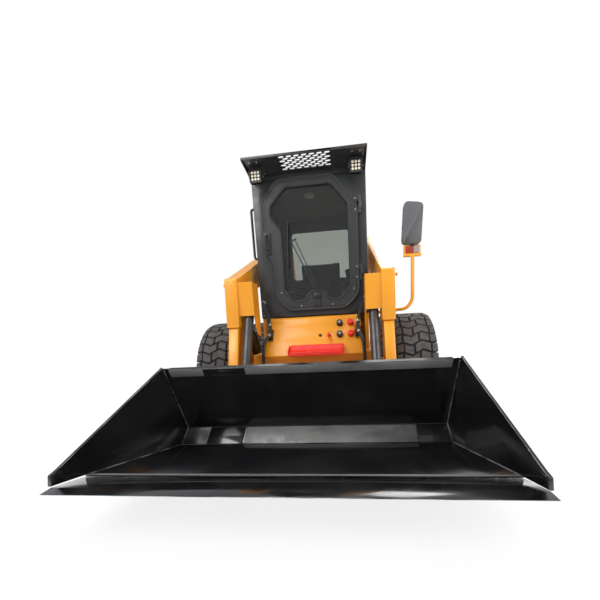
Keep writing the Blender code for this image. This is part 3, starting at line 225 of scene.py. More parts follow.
def grain(material, scale, strength, depth=0.001, detail=3.0):
    """A fine bump over the whole surface."""
    tree = material.node_tree
    bump = tree.nodes.new("ShaderNodeBump")
    bump.inputs["Strength"].default_value = strength
    bump.inputs["Distance"].default_value = depth
    tree.links.new(noise(tree, scale, detail), bump.inputs["Height"])
    socket = tree.nodes["Principled BSDF"].inputs["Normal"]
    if socket.links:
        tree.links.new(socket.links[0].from_socket, bump.inputs["Normal"])
    tree.links.new(bump.outputs[0], socket)


def see_through(material):
    """Clear glass, tinted by its colour."""
    shader = material.node_tree.nodes["Principled BSDF"]
    shader.inputs["Transmission Weight"].default_value = 1.0
    shader.inputs["IOR"].default_value = 1.45


# Each finish: colour, roughness, metallic and coat, then what varies over it in turn. The columns
# after a step are those of its function.
FINISHES = {
    "yellow_paint": (((0.850, 0.338, 0.010), 0.42, 0.0, 0.18),
                     (vary_colour, (0.78, 0.285, 0.008), 1.7, 0.35, 0.75, 0.5),
                     (vary_colour, (0.60, 0.270, 0.050), 22.0, 0.62, 0.80, 0.25),
                     (vary_roughness, 9.0, 0.30, 0.46),
                     (grain, 190.0, 0.10, 0.0006)),
    "cab_paint": (((0.021, 0.022, 0.023), 0.38, 0.0, 0.2),
                  (vary_colour, (0.036, 0.037, 0.038), 3.0, 0.40, 0.70, 0.6),
                  (vary_roughness, 12.0, 0.34, 0.52),
                  (grain, 420.0, 0.22, 0.0006)),
    "bucket_paint": (((0.0055, 0.0055, 0.0062), 0.16, 0.0, 0.5),
                     (vary_colour, (0.017, 0.017, 0.018), 2.4, 0.45, 0.75, 0.5),
                     (vary_roughness, 6.0, 0.10, 0.26, (1.0, 0.4, 1.0)),
                     (grain, 30.0, 0.10, 0.0015)),
    # Black enamel rubbed through to grey in long patches.
    "worn_paint": (((0.012, 0.012, 0.013), 0.30, 0.0, 0.2),
                   (vary_colour, (0.20, 0.20, 0.205), 9.0, 0.46, 0.60, 0.8, 8.0, (0.35, 1, 1)),
                   (vary_colour, (0.42, 0.42, 0.42), 60.0, 0.60, 0.72, 0.6, 8.0),
                   (vary_roughness, 14.0, 0.28, 0.55),
                   (grain, 55.0, 0.20, 0.001)),
    "red_paint": (((0.80, 0.022, 0.008), 0.45, 0.0, 0.1),
                  (vary_colour, (0.80, 0.16, 0.10), 40.0, 0.60, 0.75, 0.4),
                  (grain, 150.0, 0.15, 0.0008)),
    "black_plastic": (((0.018, 0.018, 0.019), 0.48),
                      (vary_roughness, 14.0, 0.40, 0.60),
                      (grain, 600.0, 0.30, 0.0005)),
    "grey_plastic": (((0.098, 0.102, 0.108), 0.52),
                     (vary_colour, (0.125, 0.128, 0.134), 5.0, 0.40, 0.70, 0.6),
                     (grain, 700.0, 0.35, 0.0005)),
    "hose_rubber": (((0.020, 0.020, 0.021), 0.55),
                    (grain, 220.0, 0.35, 0.0008, 5.0)),
    "tyre_rubber": (((0.026, 0.025, 0.025), 0.78),
                    (vary_colour, (0.100, 0.082, 0.070), 11.0, 0.50, 0.75, 0.6, 7.0),
                    (vary_roughness, 16.0, 0.70, 0.90),
                    (grain, 160.0, 0.45, 0.0015, 6.0)),
    # The worn tops of the blocks: paler and dusty.
    "tread_face": (((0.078, 0.072, 0.068), 0.85),
                   (vary_colour, (0.045, 0.042, 0.041), 26.0, 0.45, 0.65, 0.8, 8.0),
                   (vary_colour, (0.24, 0.215, 0.20), 70.0, 0.60, 0.78, 0.5, 8.0),
                   (grain, 230.0, 0.55, 0.0015, 7.0)),
    "seat_cover": (((0.022, 0.022, 0.024), 0.70),
                   (vary_colour, (0.034, 0.034, 0.036), 7.0, 0.4, 0.7, 0.7),
                   (grain, 320.0, 0.5, 0.001)),
    "window_glass": (((0.50, 0.52, 0.49), 0.02),
                     (see_through,)),
    "cylinder_paint": (((0.040, 0.037, 0.035), 0.42, 0.25, 0.2),
                       (vary_colour, (0.075, 0.068, 0.063), 8.0, 0.4, 0.7, 0.6),
                       (vary_roughness, 12.0, 0.34, 0.52),
                       (grain, 160.0, 0.15, 0.0008)),
    "rod_chrome": (((0.62, 0.62, 0.64), 0.14, 1.0),
                   (vary_roughness, 40.0, 0.10, 0.22, (1, 1, 0.1))),
    "engine_iron": (((0.10, 0.10, 0.10), 0.65, 0.3),
                    (vary_colour, (0.16, 0.14, 0.12), 9.0, 0.4, 0.7, 0.7),
                    (grain, 90.0, 0.5, 0.002)),
    # Yellow paint on the rounded edges, lighter as a painted highlight, with darker flecks of wear.
    "worn_yellow": (((0.92, 0.43, 0.035), 0.34, 0.0, 0.3),
                    (vary_colour, (0.62, 0.33, 0.12), 60.0, 0.60, 0.74, 0.55, 8.0),
                    (grain, 190.0, 0.12, 0.0006)),
    "bare_steel": (((0.45, 0.44, 0.42), 0.34, 0.9),
                   (vary_colour, (0.30, 0.27, 0.24), 45.0, 0.45, 0.70, 0.6, 6.0),
                   (vary_roughness, 60.0, 0.26, 0.50)),
    # Primer grey steel, rubbed along its length; across the middle of the heel strip it is a painted reflection.
    "scuffed_steel": (((0.155, 0.152, 0.146), 0.45, 0.2),
                      (vary_colour, (0.20, 0.20, 0.195), 7.0, 0.42, 0.66, 0.8, 6.0, (0.5, 1, 1)),
                      (vary_colour, (0.05, 0.05, 0.05), 3.2, 0.52, 0.70, 0.7, 8.0, (0.6, 1, 1)),
                      (vary_colour, (0.34, 0.34, 0.33), 120.0, 0.60, 0.74, 0.5, 6.0),
                      (vary_roughness, 20.0, 0.34, 0.58),
                      (grain, 260.0, 0.45, 0.0009)),
    # Painted reflection on the cutting edge's forward faces and rounded edges: pale steel, broken by black patches
    # and paler flecks.
    "bright_edge": (((0.36, 0.36, 0.37), 0.38, 0.7),
                    (vary_colour, (0.030, 0.030, 0.032), 14.0, 0.50, 0.62, 0.95, 9.0, (0.5, 1, 1)),
                    (vary_colour, (0.62, 0.62, 0.62), 42.0, 0.58, 0.72, 0.7, 8.0),
                    (vary_roughness, 24.0, 0.30, 0.55),
                    (grain, 80.0, 0.30, 0.001)),
    "weld_metal": (((0.20, 0.20, 0.20), 0.38, 0.4),
                   (vary_colour, (0.02, 0.02, 0.02), 9.0, 0.45, 0.60, 0.9, 6.0),
                   (vary_colour, (0.60, 0.60, 0.60), 50.0, 0.58, 0.72, 0.7, 6.0)),
    # Pale grey felt on board.
    "lining": (((0.110, 0.112, 0.104), 0.85),
               (vary_colour, (0.150, 0.150, 0.140), 9.0, 0.40, 0.70, 0.6),
               (grain, 500.0, 0.5, 0.0008)),
    "reflector_red": (((0.33, 0.030, 0.018), 0.22, 0.0, 0.5),
                      (grain, 420.0, 0.5, 0.0012)),
    "reflector_pale": (((0.34, 0.30, 0.28), 0.25, 0.0, 0.4),
                       (grain, 420.0, 0.5, 0.0012)),
    "lamp_reflector": (((0.50, 0.42, 0.33), 0.20, 0.8),
                       (vary_colour, (0.20, 0.16, 0.12), 60.0, 0.40, 0.60, 0.8)),
    # Domed lens over each diode.
    "lamp_led": (((0.80, 0.72, 0.58), 0.12, 0.0, 0.6),
                 (vary_colour, (0.95, 0.80, 0.40), 70.0, 0.55, 0.65, 0.8)),
}
MADE = {}


def look(name):
    """The finish of a name, made once."""
    if name not in MADE:
        base, *steps = FINISHES[name]
        MADE[name] = finish(name, *base)
        for step, *values in steps:
            step(MADE[name], *values)
    return MADE[name]


# ---- where things are -----------------------------------------------------------------------
JOINTS = {joint["name"]: joint for joint in frame["joints"]}
BODY = {node: body for body, nodes in frame["record"]["behaviour"]["bodies"].items() for node in nodes}
SLOT = {part["node"]: part["material_slot"] for part in frame["record"]["subparts"]}
AXLE_Y = JOINTS["wheel_front_left_spin"]["pos_m"][1]
SIDES = (("left", 1), ("right", -1))


def at(x, y, z):
    """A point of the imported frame, its y counted from the front axle."""
    return Vector((x, y + AXLE_Y, z))


# ---- making pieces --------------------------------------------------------------------------
def piece_from(name, mesh, *finishes):
    """An object of a finished shape, with its finishes in the order of their marks."""
    data = bpy.data.meshes.new(name)
    mesh.to_mesh(data)
    mesh.free()
    for name_of_finish in finishes:
        data.materials.append(look(name_of_finish))
    piece = bpy.data.objects.new(name, data)
    bpy.context.scene.collection.objects.link(piece)
    return piece


def settle(piece, body, instead_of=(), crease=34):
    """Shade a finished piece, let it ride on its body and hide the nodes it stands in for."""
    piece.data.shade_smooth()
    piece.data.set_sharp_from_angle(angle=math.radians(crease))
    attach(piece, body)
    if instead_of:
        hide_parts(*instead_of)
    return piece


def outward(mesh):
    """Weld a shape and turn its faces outwards."""
    bmesh.ops.remove_doubles(mesh, verts=mesh.verts, dist=0.00002)
    bmesh.ops.recalc_face_normals(mesh, faces=mesh.faces)


def round_edges(mesh, width, segments=2, angle=28, mark=0):
    """Round the sharp edges that are long enough for it."""
    shortest = {vert: min((edge.calc_length() for edge in vert.link_edges), default=0)
                for vert in mesh.verts}
    sharp = []
    for edge in mesh.edges:
        if len(edge.link_faces) != 2 or edge.calc_face_angle(0) < math.radians(angle):
            continue
        if edge.calc_length() < width * 2.5 or min(shortest[v] for v in edge.verts) < width * 2.2:
            continue
        sharp.append(edge)
    if sharp:
        bmesh.ops.bevel(mesh, geom=sharp, offset=width, offset_type="OFFSET", segments=segments,
                        profile=0.5, affect="EDGES", clamp_overlap=False, material=mark)


def add(name, mesh, finishes, body, instead_of=(), width=0.0):
    """Close and face a shape outwards, round its edges if a width is given, and settle it."""
    outward(mesh)
    if width:
        round_edges(mesh, width)
    names = (finishes,) if isinstance(finishes, str) else finishes
    return settle(piece_from(name, mesh, *names), body, instead_of)


def copy_of(node):
    """The merged mesh of a CAD node, its flat faces whole again."""
    mesh = bmesh.new()
    mesh.from_mesh(frame["nodes"][node].data)
    outward(mesh)
    bmesh.ops.dissolve_limit(mesh, angle_limit=math.radians(0.6), verts=mesh.verts, edges=mesh.edges)
    for face in mesh.faces:
        face.material_index = 0
    return mesh


def dress(node, name, finish, width=0.0022, edge_finish=None, mesh=None):
    """Stand in for a CAD node with its own shape, its edges rounded over."""
    mesh = mesh or copy_of(node)
    finishes = [finish] + ([edge_finish] if edge_finish else [])
    round_edges(mesh, width, mark=1 if edge_finish else 0)
    piece = piece_from(name, mesh, *finishes)
    return settle(piece, BODY[node], (node,))


def prism(mesh, outline, place, first, second, depth, mark=0):
    """An outline drawn along two directions, pushed out along their normal."""
    first = Vector(first)
    second = Vector(second)
    normal = first.cross(second).normalized()
    near = [mesh.verts.new(place + first * a + second * b) for a, b in outline]
    far = [mesh.verts.new(vert.co + normal * depth) for vert in near]
    count = len(near)
    faces = [mesh.faces.new(near[::-1] if depth > 0 else near),
             mesh.faces.new(far if depth > 0 else far[::-1])]
    for index in range(count):
        after = (index + 1) % count
        quad = (near[index], near[after], far[after], far[index])
        faces.append(mesh.faces.new(quad if depth > 0 else quad[::-1]))
    for face in faces:
        face.material_index = mark
    return faces


def across(mesh, outline, x, depth, mark=0):
    """A (y, z) outline, its y counted from the front axle, pushed out along +X from x."""
    return prism(mesh, outline, at(x, 0, 0), (0, 1, 0), (0, 0, 1), depth, mark)


def upright(mesh, outline, place, depth, mark=0):
    """An (x, z) outline pushed out along -Y from a place."""
    return prism(mesh, outline, place, (1, 0, 0), (0, 0, 1), depth, mark)


def block(mesh, low, high):
    """A box between two corners, counted from the front axle."""
    low = at(*low)
    high = at(*high)
    size = high - low
    outline = [(0, 0), (size.x, 0), (size.x, size.y), (0, size.y)]
    return prism(mesh, outline, low, (1, 0, 0), (0, 1, 0), size.z)


def turn_on(mesh, profile, place, axis, sides=24, mark=0, closed=False):
    """A profile of (along, radius) turned round an axis. Ends at radius 0 close in a point."""
    axis = Vector(axis).normalized()
    first = axis.orthogonal().normalized()
    second = axis.cross(first)
    rings = []
    for along, radius in profile:
        centre = place + axis * along
        if radius == 0:
            rings.append([mesh.verts.new(centre)])
            continue
        ring = []
        for step in range(sides):
            angle = 2 * math.pi * step / sides
            ring.append(mesh.verts.new(centre + (first * math.cos(angle)
                                                 + second * math.sin(angle)) * radius))
        rings.append(ring)
    pairs = list(zip(rings, rings[1:]))
    if closed:
        pairs.append((rings[-1], rings[0]))
    for low, high in pairs:
        for step in range(sides):
            after = (step + 1) % sides
            corners = []
            for ring, index in ((low, step), (low, after), (high, after), (high, step)):
                vert = ring[index if len(ring) > 1 else 0]
                if vert not in corners:
                    corners.append(vert)
            if len(corners) > 2:
                mesh.faces.new(corners).material_index = mark
    if not closed:
        for ring in (rings[0], rings[-1]):
            if len(ring) > 1:
                mesh.faces.new(ring).material_index = mark


def smooth_route(route, reach=0.45, steps=6):
    """A route of points with its corners eased."""
    points = [Vector(route[0])]
    for index in range(1, len(route) - 1):
        here = Vector(route[index])
        before = Vector(route[index - 1]) - here
        after = Vector(route[index + 1]) - here
        run = min(before.length, after.length) * reach
        start = here + before.normalized() * run
        end = here + after.normalized() * run
        for step in range(steps + 1):
            share = step / steps
            points.append(start.lerp(here, share).lerp(here.lerp(end, share), share))
    points.append(Vector(route[-1]))
    return points


def pipe(mesh, points, radius, sides=12, flat=1.0):
    """A round or oval tube along points, closed at its ends."""
    rings = []
    side_way = None
    for index, point in enumerate(points):
        ahead = (points[min(index + 1, len(points) - 1)] - points[max(index - 1, 0)]).normalized()
        if side_way is None:
            side_way = ahead.orthogonal().normalized()
        side_way = (side_way - ahead * side_way.dot(ahead)).normalized()
        other = ahead.cross(side_way)
        ring = []
        for step in range(sides):
            angle = 2 * math.pi * step / sides
            offset = side_way * math.cos(angle) + other * math.sin(angle) * flat
            ring.append(mesh.verts.new(point + offset * radius))
        rings.append(ring)
    for first, second in zip(rings, rings[1:]):
        for step in range(sides):
            after = (step + 1) % sides
            mesh.faces.new((first[step], first[after], second[after], second[step]))
    mesh.faces.new(rings[0][::-1])
    mesh.faces.new(rings[-1])


# ---- setting out what repeats ---------------------------------------------------------------
def set_out_tree():
    """One small shape at every point, turned and sized by the point's own values."""
    tree = bpy.data.node_groups.new("set_out", "GeometryNodeTree")
    for name, kind in (("Places", "Geometry"), ("Item", "Object"), ("Scale", "Float"),
                       ("Unevenness", "Float"), ("Seed", "Int"), ("Finish", "Material")):
        tree.interface.new_socket(name, in_out="INPUT", socket_type="NodeSocket" + kind)
    tree.interface.new_socket("Set out", in_out="OUTPUT", socket_type="NodeSocketGeometry")
    nodes = tree.nodes
    link = tree.links.new
    start = nodes.new("NodeGroupInput")
    end = nodes.new("NodeGroupOutput")
    item = nodes.new("GeometryNodeObjectInfo")
    turn = nodes.new("GeometryNodeInputNamedAttribute")
    turn.data_type = "QUATERNION"
    turn.inputs["Name"].default_value = "turn"
    size = nodes.new("GeometryNodeInputNamedAttribute")
    size.data_type = "FLOAT_VECTOR"
    size.inputs["Name"].default_value = "size"
    least = nodes.new("ShaderNodeMath")
    least.operation = "SUBTRACT"
    least.inputs[0].default_value = 1
    chance = nodes.new("FunctionNodeRandomValue")
    chance.data_type = "FLOAT"
    chance.inputs[3].default_value = 1
    share = nodes.new("ShaderNodeMath")
    share.operation = "MULTIPLY"
    sized = nodes.new("ShaderNodeVectorMath")
    sized.operation = "SCALE"
    copies = nodes.new("GeometryNodeInstanceOnPoints")
    real = nodes.new("GeometryNodeRealizeInstances")
    paint = nodes.new("GeometryNodeSetMaterial")
    link(start.outputs["Item"], item.inputs["Object"])
    link(start.outputs["Unevenness"], least.inputs[1])
    link(least.outputs[0], chance.inputs[2])
    link(start.outputs["Seed"], chance.inputs["Seed"])
    link(chance.outputs[1], share.inputs[0])
    link(start.outputs["Scale"], share.inputs[1])
    link(size.outputs["Attribute"], sized.inputs[0])
    link(share.outputs[0], sized.inputs["Scale"])
    link(start.outputs["Places"], copies.inputs["Points"])
    link(item.outputs["Geometry"], copies.inputs["Instance"])
    link(turn.outputs["Attribute"], copies.inputs["Rotation"])
    link(sized.outputs[0], copies.inputs["Scale"])
    link(copies.outputs[0], real.inputs[0])
    link(real.outputs[0], paint.inputs["Geometry"])
    link(start.outputs["Finish"], paint.inputs["Material"])
    link(paint.outputs[0], end.inputs[0])
    return tree


SET_OUT = set_out_tree()


def facing(way, spin=0.0):
    """The turn that points a shape's own Z along a direction, spun about it."""
    return Vector(way).to_track_quat("Z", "Y") @ Quaternion((0, 0, 1), spin)


def set_out(name, item, places, finish, body, scale=1.0, uneven=0.0, seed=1, crease=34):
    """Make one piece of a shape repeated at places of (point, turn[, size])."""
    data = bpy.data.meshes.new(name)
    data.from_pydata([tuple(place[0]) for place in places], [], [])
    turns = data.attributes.new("turn", "QUATERNION", "POINT")
    turns.data.foreach_set("value", [part for place in places for part in place[1]])
    sizes = data.attributes.new("size", "FLOAT_VECTOR", "POINT")
    sizes.data.foreach_set("vector", [part for place in places
                                      for part in (place[2] if len(place) > 2 else (1, 1, 1))])
    points = bpy.data.objects.new(name, data)
    shape = bpy.data.objects.new(name + "_item", item)
    for made in (points, shape):
        bpy.context.scene.collection.objects.link(made)
    step = points.modifiers.new("set_out", "NODES")
    step.node_group = SET_OUT
    values = {"Item": shape, "Scale": float(scale), "Unevenness": float(uneven), "Seed": seed,
              "Finish": look(finish)}
    for socket in SET_OUT.interface.items_tree:
        if socket.in_out == "INPUT" and socket.name in values:
            step[socket.identifier] = values[socket.name]
    bpy.context.view_layer.update()
    graph = bpy.context.evaluated_depsgraph_get()
    result = bpy.data.meshes.new_from_object(points.evaluated_get(graph))
    points.modifiers.clear()
    points.data = result
    for old in [attribute.name for attribute in result.attributes if attribute.name in ("turn", "size")]:
        result.attributes.remove(result.attributes[old])
    bpy.data.objects.remove(shape)
    bpy.data.meshes.remove(data)
    return settle(points, body, crease=crease)


def shape_data(name, mesh):
    """A small shape to be set out many times."""
    outward(mesh)
    data = bpy.data.meshes.new(name)
    mesh.to_mesh(data)
    mesh.free()
    return data


ORIGIN = Vector((0, 0, 0))
UP = Vector((0, 0, 1))


def hex_screw():
    """A hexagon head on its washer, 10 mm across, standing on its own Z."""
    mesh = bmesh.new()
    turn_on(mesh, [(0, 0.0078), (0.0012, 0.0078), (0.0014, 0.0074)], ORIGIN, UP, 16)
    turn_on(mesh, [(0.0014, 0.0058), (0.0050, 0.0058), (0.0060, 0.0050)], ORIGIN, UP, 6)
    return shape_data("hex_screw", mesh)


def dome_screw():
    """A round-headed screw with a washer."""
    mesh = bmesh.new()
    turn_on(mesh, [(0, 0.0062), (0.0010, 0.0062), (0.0028, 0.0048), (0.0036, 0.0026),
                   (0.0030, 0.0020), (0.0022, 0.0018)], ORIGIN, UP, 12)
    return shape_data("dome_screw", mesh)


def weld_ripple():
    """One scale of a weld bead, lying along its own X."""
    mesh = bmesh.new()
    turn_on(mesh, [(-0.5, 0), (-0.36, 0.62), (0.0, 1.0), (0.36, 0.70), (0.5, 0)], ORIGIN, (1, 0, 0), 7)
    return shape_data("weld_ripple", mesh)


HEX_SCREW = hex_screw()
DOME_SCREW = dome_screw()
WELD_RIPPLE = weld_ripple()


def weld(name, routes, size, finish, body, step=0.62):
    """Beads along straight runs between points."""
    places = []
    for route in routes:
        for start, end in zip(route, route[1:]):
            way = end - start
            count = max(2, int(way.length / (size * step)))
            turn = way.to_track_quat("X", "Z")
            for index in range(count):
                places.append((start.lerp(end, (index + 0.5) / count), turn, (1.7, 1, 1)))
    return set_out(name, WELD_RIPPLE, places, finish, body, scale=size, uneven=0.25, seed=3,
                   crease=60)


# ---- wheels ---------------------------------------------------------------------------------
TYRE_RADIUS = JOINTS["wheel_front_left_spin"]["pos_m"][2]
ROWS = 36
ROW_PITCH = 2 * math.pi * TYRE_RADIUS / ROWS
GROOVE = 0.0135
TREAD_DEPTH = 0.021


def crown(x):
    """Outer radius of the tread across its width."""
    return TYRE_RADIUS - 2.2 * max(0.0, abs(x) - 0.080) ** 2 - 9.0 * max(0.0, abs(x) - 0.122) ** 2


def zigzag(x):
    """How far a groove between two rows wanders round the tyre."""
    knots = [(-0.150, -0.006), (-0.100, 0.003), (-0.040, -0.022), (0.040, 0.022), (0.100, -0.003),
             (0.150, 0.006)]
    for (x0, s0), (x1, s1) in zip(knots, knots[1:]):
        if x <= x1:
            return s0 + (s1 - s0) * (x - x0) / (x1 - x0)
    return knots[-1][1]


def tread_block(mesh, x0, x1, low, mark):
    """One block between two cross grooves, its foot wider than its face."""
    knots = [x0] + [x for x in (-0.122, -0.100, -0.040, 0.0, 0.040, 0.100, 0.122)
                    if x0 + 0.006 < x < x1 - 0.006] + [x1]
    knots.sort()
    rings = []
    for inset, drop in ((-0.0028, TREAD_DEPTH), (0.0, 0.004), (0.0034, 0.0)):
        lower = low + GROOVE / 2 + inset
        upper = low + ROW_PITCH - GROOVE / 2 - inset
        xs = [min(max(x, x0 + inset), x1 - inset) for x in knots]
        outline = [(x, lower + zigzag(x)) for x in xs]
        outline += [(xs[-1], (lower + upper) / 2 + zigzag(xs[-1]))]
        outline += [(x, upper + zigzag(x)) for x in reversed(xs)]
        outline += [(xs[0], (lower + upper) / 2 + zigzag(xs[0]))]
        ring = []
        for x, along in outline:
            angle = along / TYRE_RADIUS
            radius = crown(x) - drop
            ring.append(mesh.verts.new((x, radius * math.sin(angle), radius * math.cos(angle))))
        rings.append(ring)
    count = len(rings[0])
    for first, second in zip(rings, rings[1:]):
        for index in range(count):
            after = (index + 1) % count
            mesh.faces.new((first[index], first[after], second[after], second[index]))
    face = mesh.faces.new(rings[-1])
    face.material_index = mark
    bmesh.ops.triangulate(mesh, faces=[face])


def tread_pair():
    """Two neighbouring rows of blocks, the second the first one turned over."""
    mesh = bmesh.new()
    for x0, x1 in ((-0.147, -0.106), (-0.095, 0.013), (0.025, 0.090), (0.099, 0.147)):
        tread_block(mesh, x0, x1, 0.0, 1)
        tread_block(mesh, -x1, -x0, ROW_PITCH, 1)
    bmesh.ops.recalc_face_normals(mesh, faces=mesh.faces)
    data = bpy.data.meshes.new("tread_pair")
    mesh.to_mesh(data)
    mesh.free()
    return data


def tyre_body(mesh, place, side):
    """The carcass below the tread, with rings on its walls."""
    half = 0.150
    top = TYRE_RADIUS - TREAD_DEPTH + 0.0015
    profile = [(-0.117, 0.2195), (-0.128, 0.232), (-half * 0.965, 0.262), (-half + 0.001, 0.292),
               (-half, top - 0.080), (-0.1475, top - 0.053), (-0.143, top - 0.031), (-0.130, top - 0.016),
               (-0.105, top - 0.006), (-0.060, top - 0.001), (0, top)]
    profile = profile + [(-x, radius) for x, radius in profile[-2::-1]]
    profile += [(0.100, 0.2185), (-0.100, 0.2185)]
    turn_on(mesh, profile, place, (side, 0, 0), 72, closed=True)
    for face in (1, -1):
        for radius in (0.300, 0.345):
            ring = [(face * 0.1450, radius - 0.005), (face * 0.1492, radius - 0.0025),
                    (face * 0.1500, radius), (face * 0.1492, radius + 0.0025),
                    (face * 0.1450, radius + 0.005)]
            turn_on(mesh, ring, place, (side, 0, 0), 72, closed=True)


def rim_body(mesh, place, side):
    """The dished steel disc, its well and flanges."""
    profile = [(-0.108, 0.036), (0.018, 0.036), (0.021, 0.040), (0.021, 0.084), (0.024, 0.092),
               (0.036, 0.128), (0.039, 0.148), (0.036, 0.166), (0.030, 0.186), (0.034, 0.196),
               (0.060, 0.199), (0.112, 0.203), (0.121, 0.211), (0.1275, 0.2225), (0.1245, 0.2285),
               (0.1215, 0.2255), (0.1180, 0.2165), (-0.1180, 0.2165), (-0.1215, 0.2255),
               (-0.1245, 0.2285),
               (-0.1275, 0.2225), (-0.121, 0.211), (-0.060, 0.199), (0.014, 0.194), (0.012, 0.150),
               (0.004, 0.090), (-0.108, 0.075)]
    turn_on(mesh, profile, place, (side, 0, 0), 64, closed=True)


def wheel_nut():
    """A nut on its washer, with the stud's end."""
    mesh = bmesh.new()
    turn_on(mesh, [(0, 0.0135), (0.003, 0.0135), (0.004, 0.0125)], ORIGIN, UP, 20)
    turn_on(mesh, [(0.004, 0.0108), (0.016, 0.0108), (0.018, 0.0095)], ORIGIN, UP, 6)
    turn_on(mesh, [(0.016, 0.0062), (0.025, 0.0062), (0.0265, 0.0048)], ORIGIN, UP, 12)
    return shape_data("wheel_nut", mesh)


def build_wheels():
    """Tyres with their rows of blocks, rims, nuts and hub caps."""
    pair = tread_pair()
    nut = wheel_nut()
    for station in ("front", "rear"):
        for hand, side in SIDES:
            joint = JOINTS[f"wheel_{station}_{hand}_spin"]
            centre = Vector(joint["pos_m"])
            body = f"wheel_{station}_{hand}"
            mesh = bmesh.new()
            tyre_body(mesh, centre, side)
            add(f"tyre_{station}_{hand}_body", mesh, "tyre_rubber", body,
                (f"tyre_{station}_{hand}",))
            places = []
            for index in range(ROWS // 2):
                spin = Quaternion((1, 0, 0), 2 * math.pi * index / (ROWS // 2))
                places.append((centre, spin))
            set_out(f"tyre_{station}_{hand}_tread", pair, places, "tread_face", body)
            mesh = bmesh.new()
            rim_body(mesh, centre, side)
            add(f"rim_{station}_{hand}_disc", mesh, "yellow_paint", body,
                (f"rim_{station}_{hand}",))
            nuts = []
            for index in range(8):
                angle = 2 * math.pi * (index + 0.5) / 8
                offset = Vector((side * 0.0215, 0.066 * math.cos(angle), 0.066 * math.sin(angle)))
                nuts.append((centre + offset, facing((side, 0, 0), angle)))
            set_out(f"wheel_nuts_{station}_{hand}", nut, nuts, "bare_steel", body,
                    scale=0.95)
            mesh = bmesh.new()
            turn_on(mesh, [(0.0, 0.036), (0.012, 0.036), (0.018, 0.030), (0.020, 0.0)],
                    centre + Vector((side * 0.019, 0, 0)), (side, 0, 0), 28)
            add(f"hub_cap_{station}_{hand}", mesh, "cab_paint", body)


# ---- bucket ---------------------------------------------------------------------------------
TIP = (-1.651, 0.263)
HEEL = (-0.741, 0.043)
FOOT = (-0.633, 0.130)
LIP = (-0.833, 0.597)
BUCKET_HALF = 0.930
CHEEK = 0.014
EDGE_DEPTH = 0.190
LIP_BAR = 0.056


def between(start, end, share):
    """A (y, z) point part of the way along a line."""
    return (start[0] + (end[0] - start[0]) * share, start[1] + (end[1] - start[1]) * share)


def raised(start, end, share, height):
    """A (y, z) point along a plate, lifted off its inner face."""
    y, z = between(start, end, share)
    way = Vector((end[0] - start[0], end[1] - start[1])).normalized()
    return (y + way.y * height, z - way.x * height)


def slab(mesh, start, end, shares, heights, x0, x1, mark=0):
    """A flat plate lying on an inner face, between two shares of its depth."""
    outline = [raised(start, end, shares[0], heights[0]), raised(start, end, shares[1], heights[0]),
               raised(start, end, shares[1], heights[1]), raised(start, end, shares[0], heights[1])]
    across(mesh, outline, x0, x1 - x0, mark)


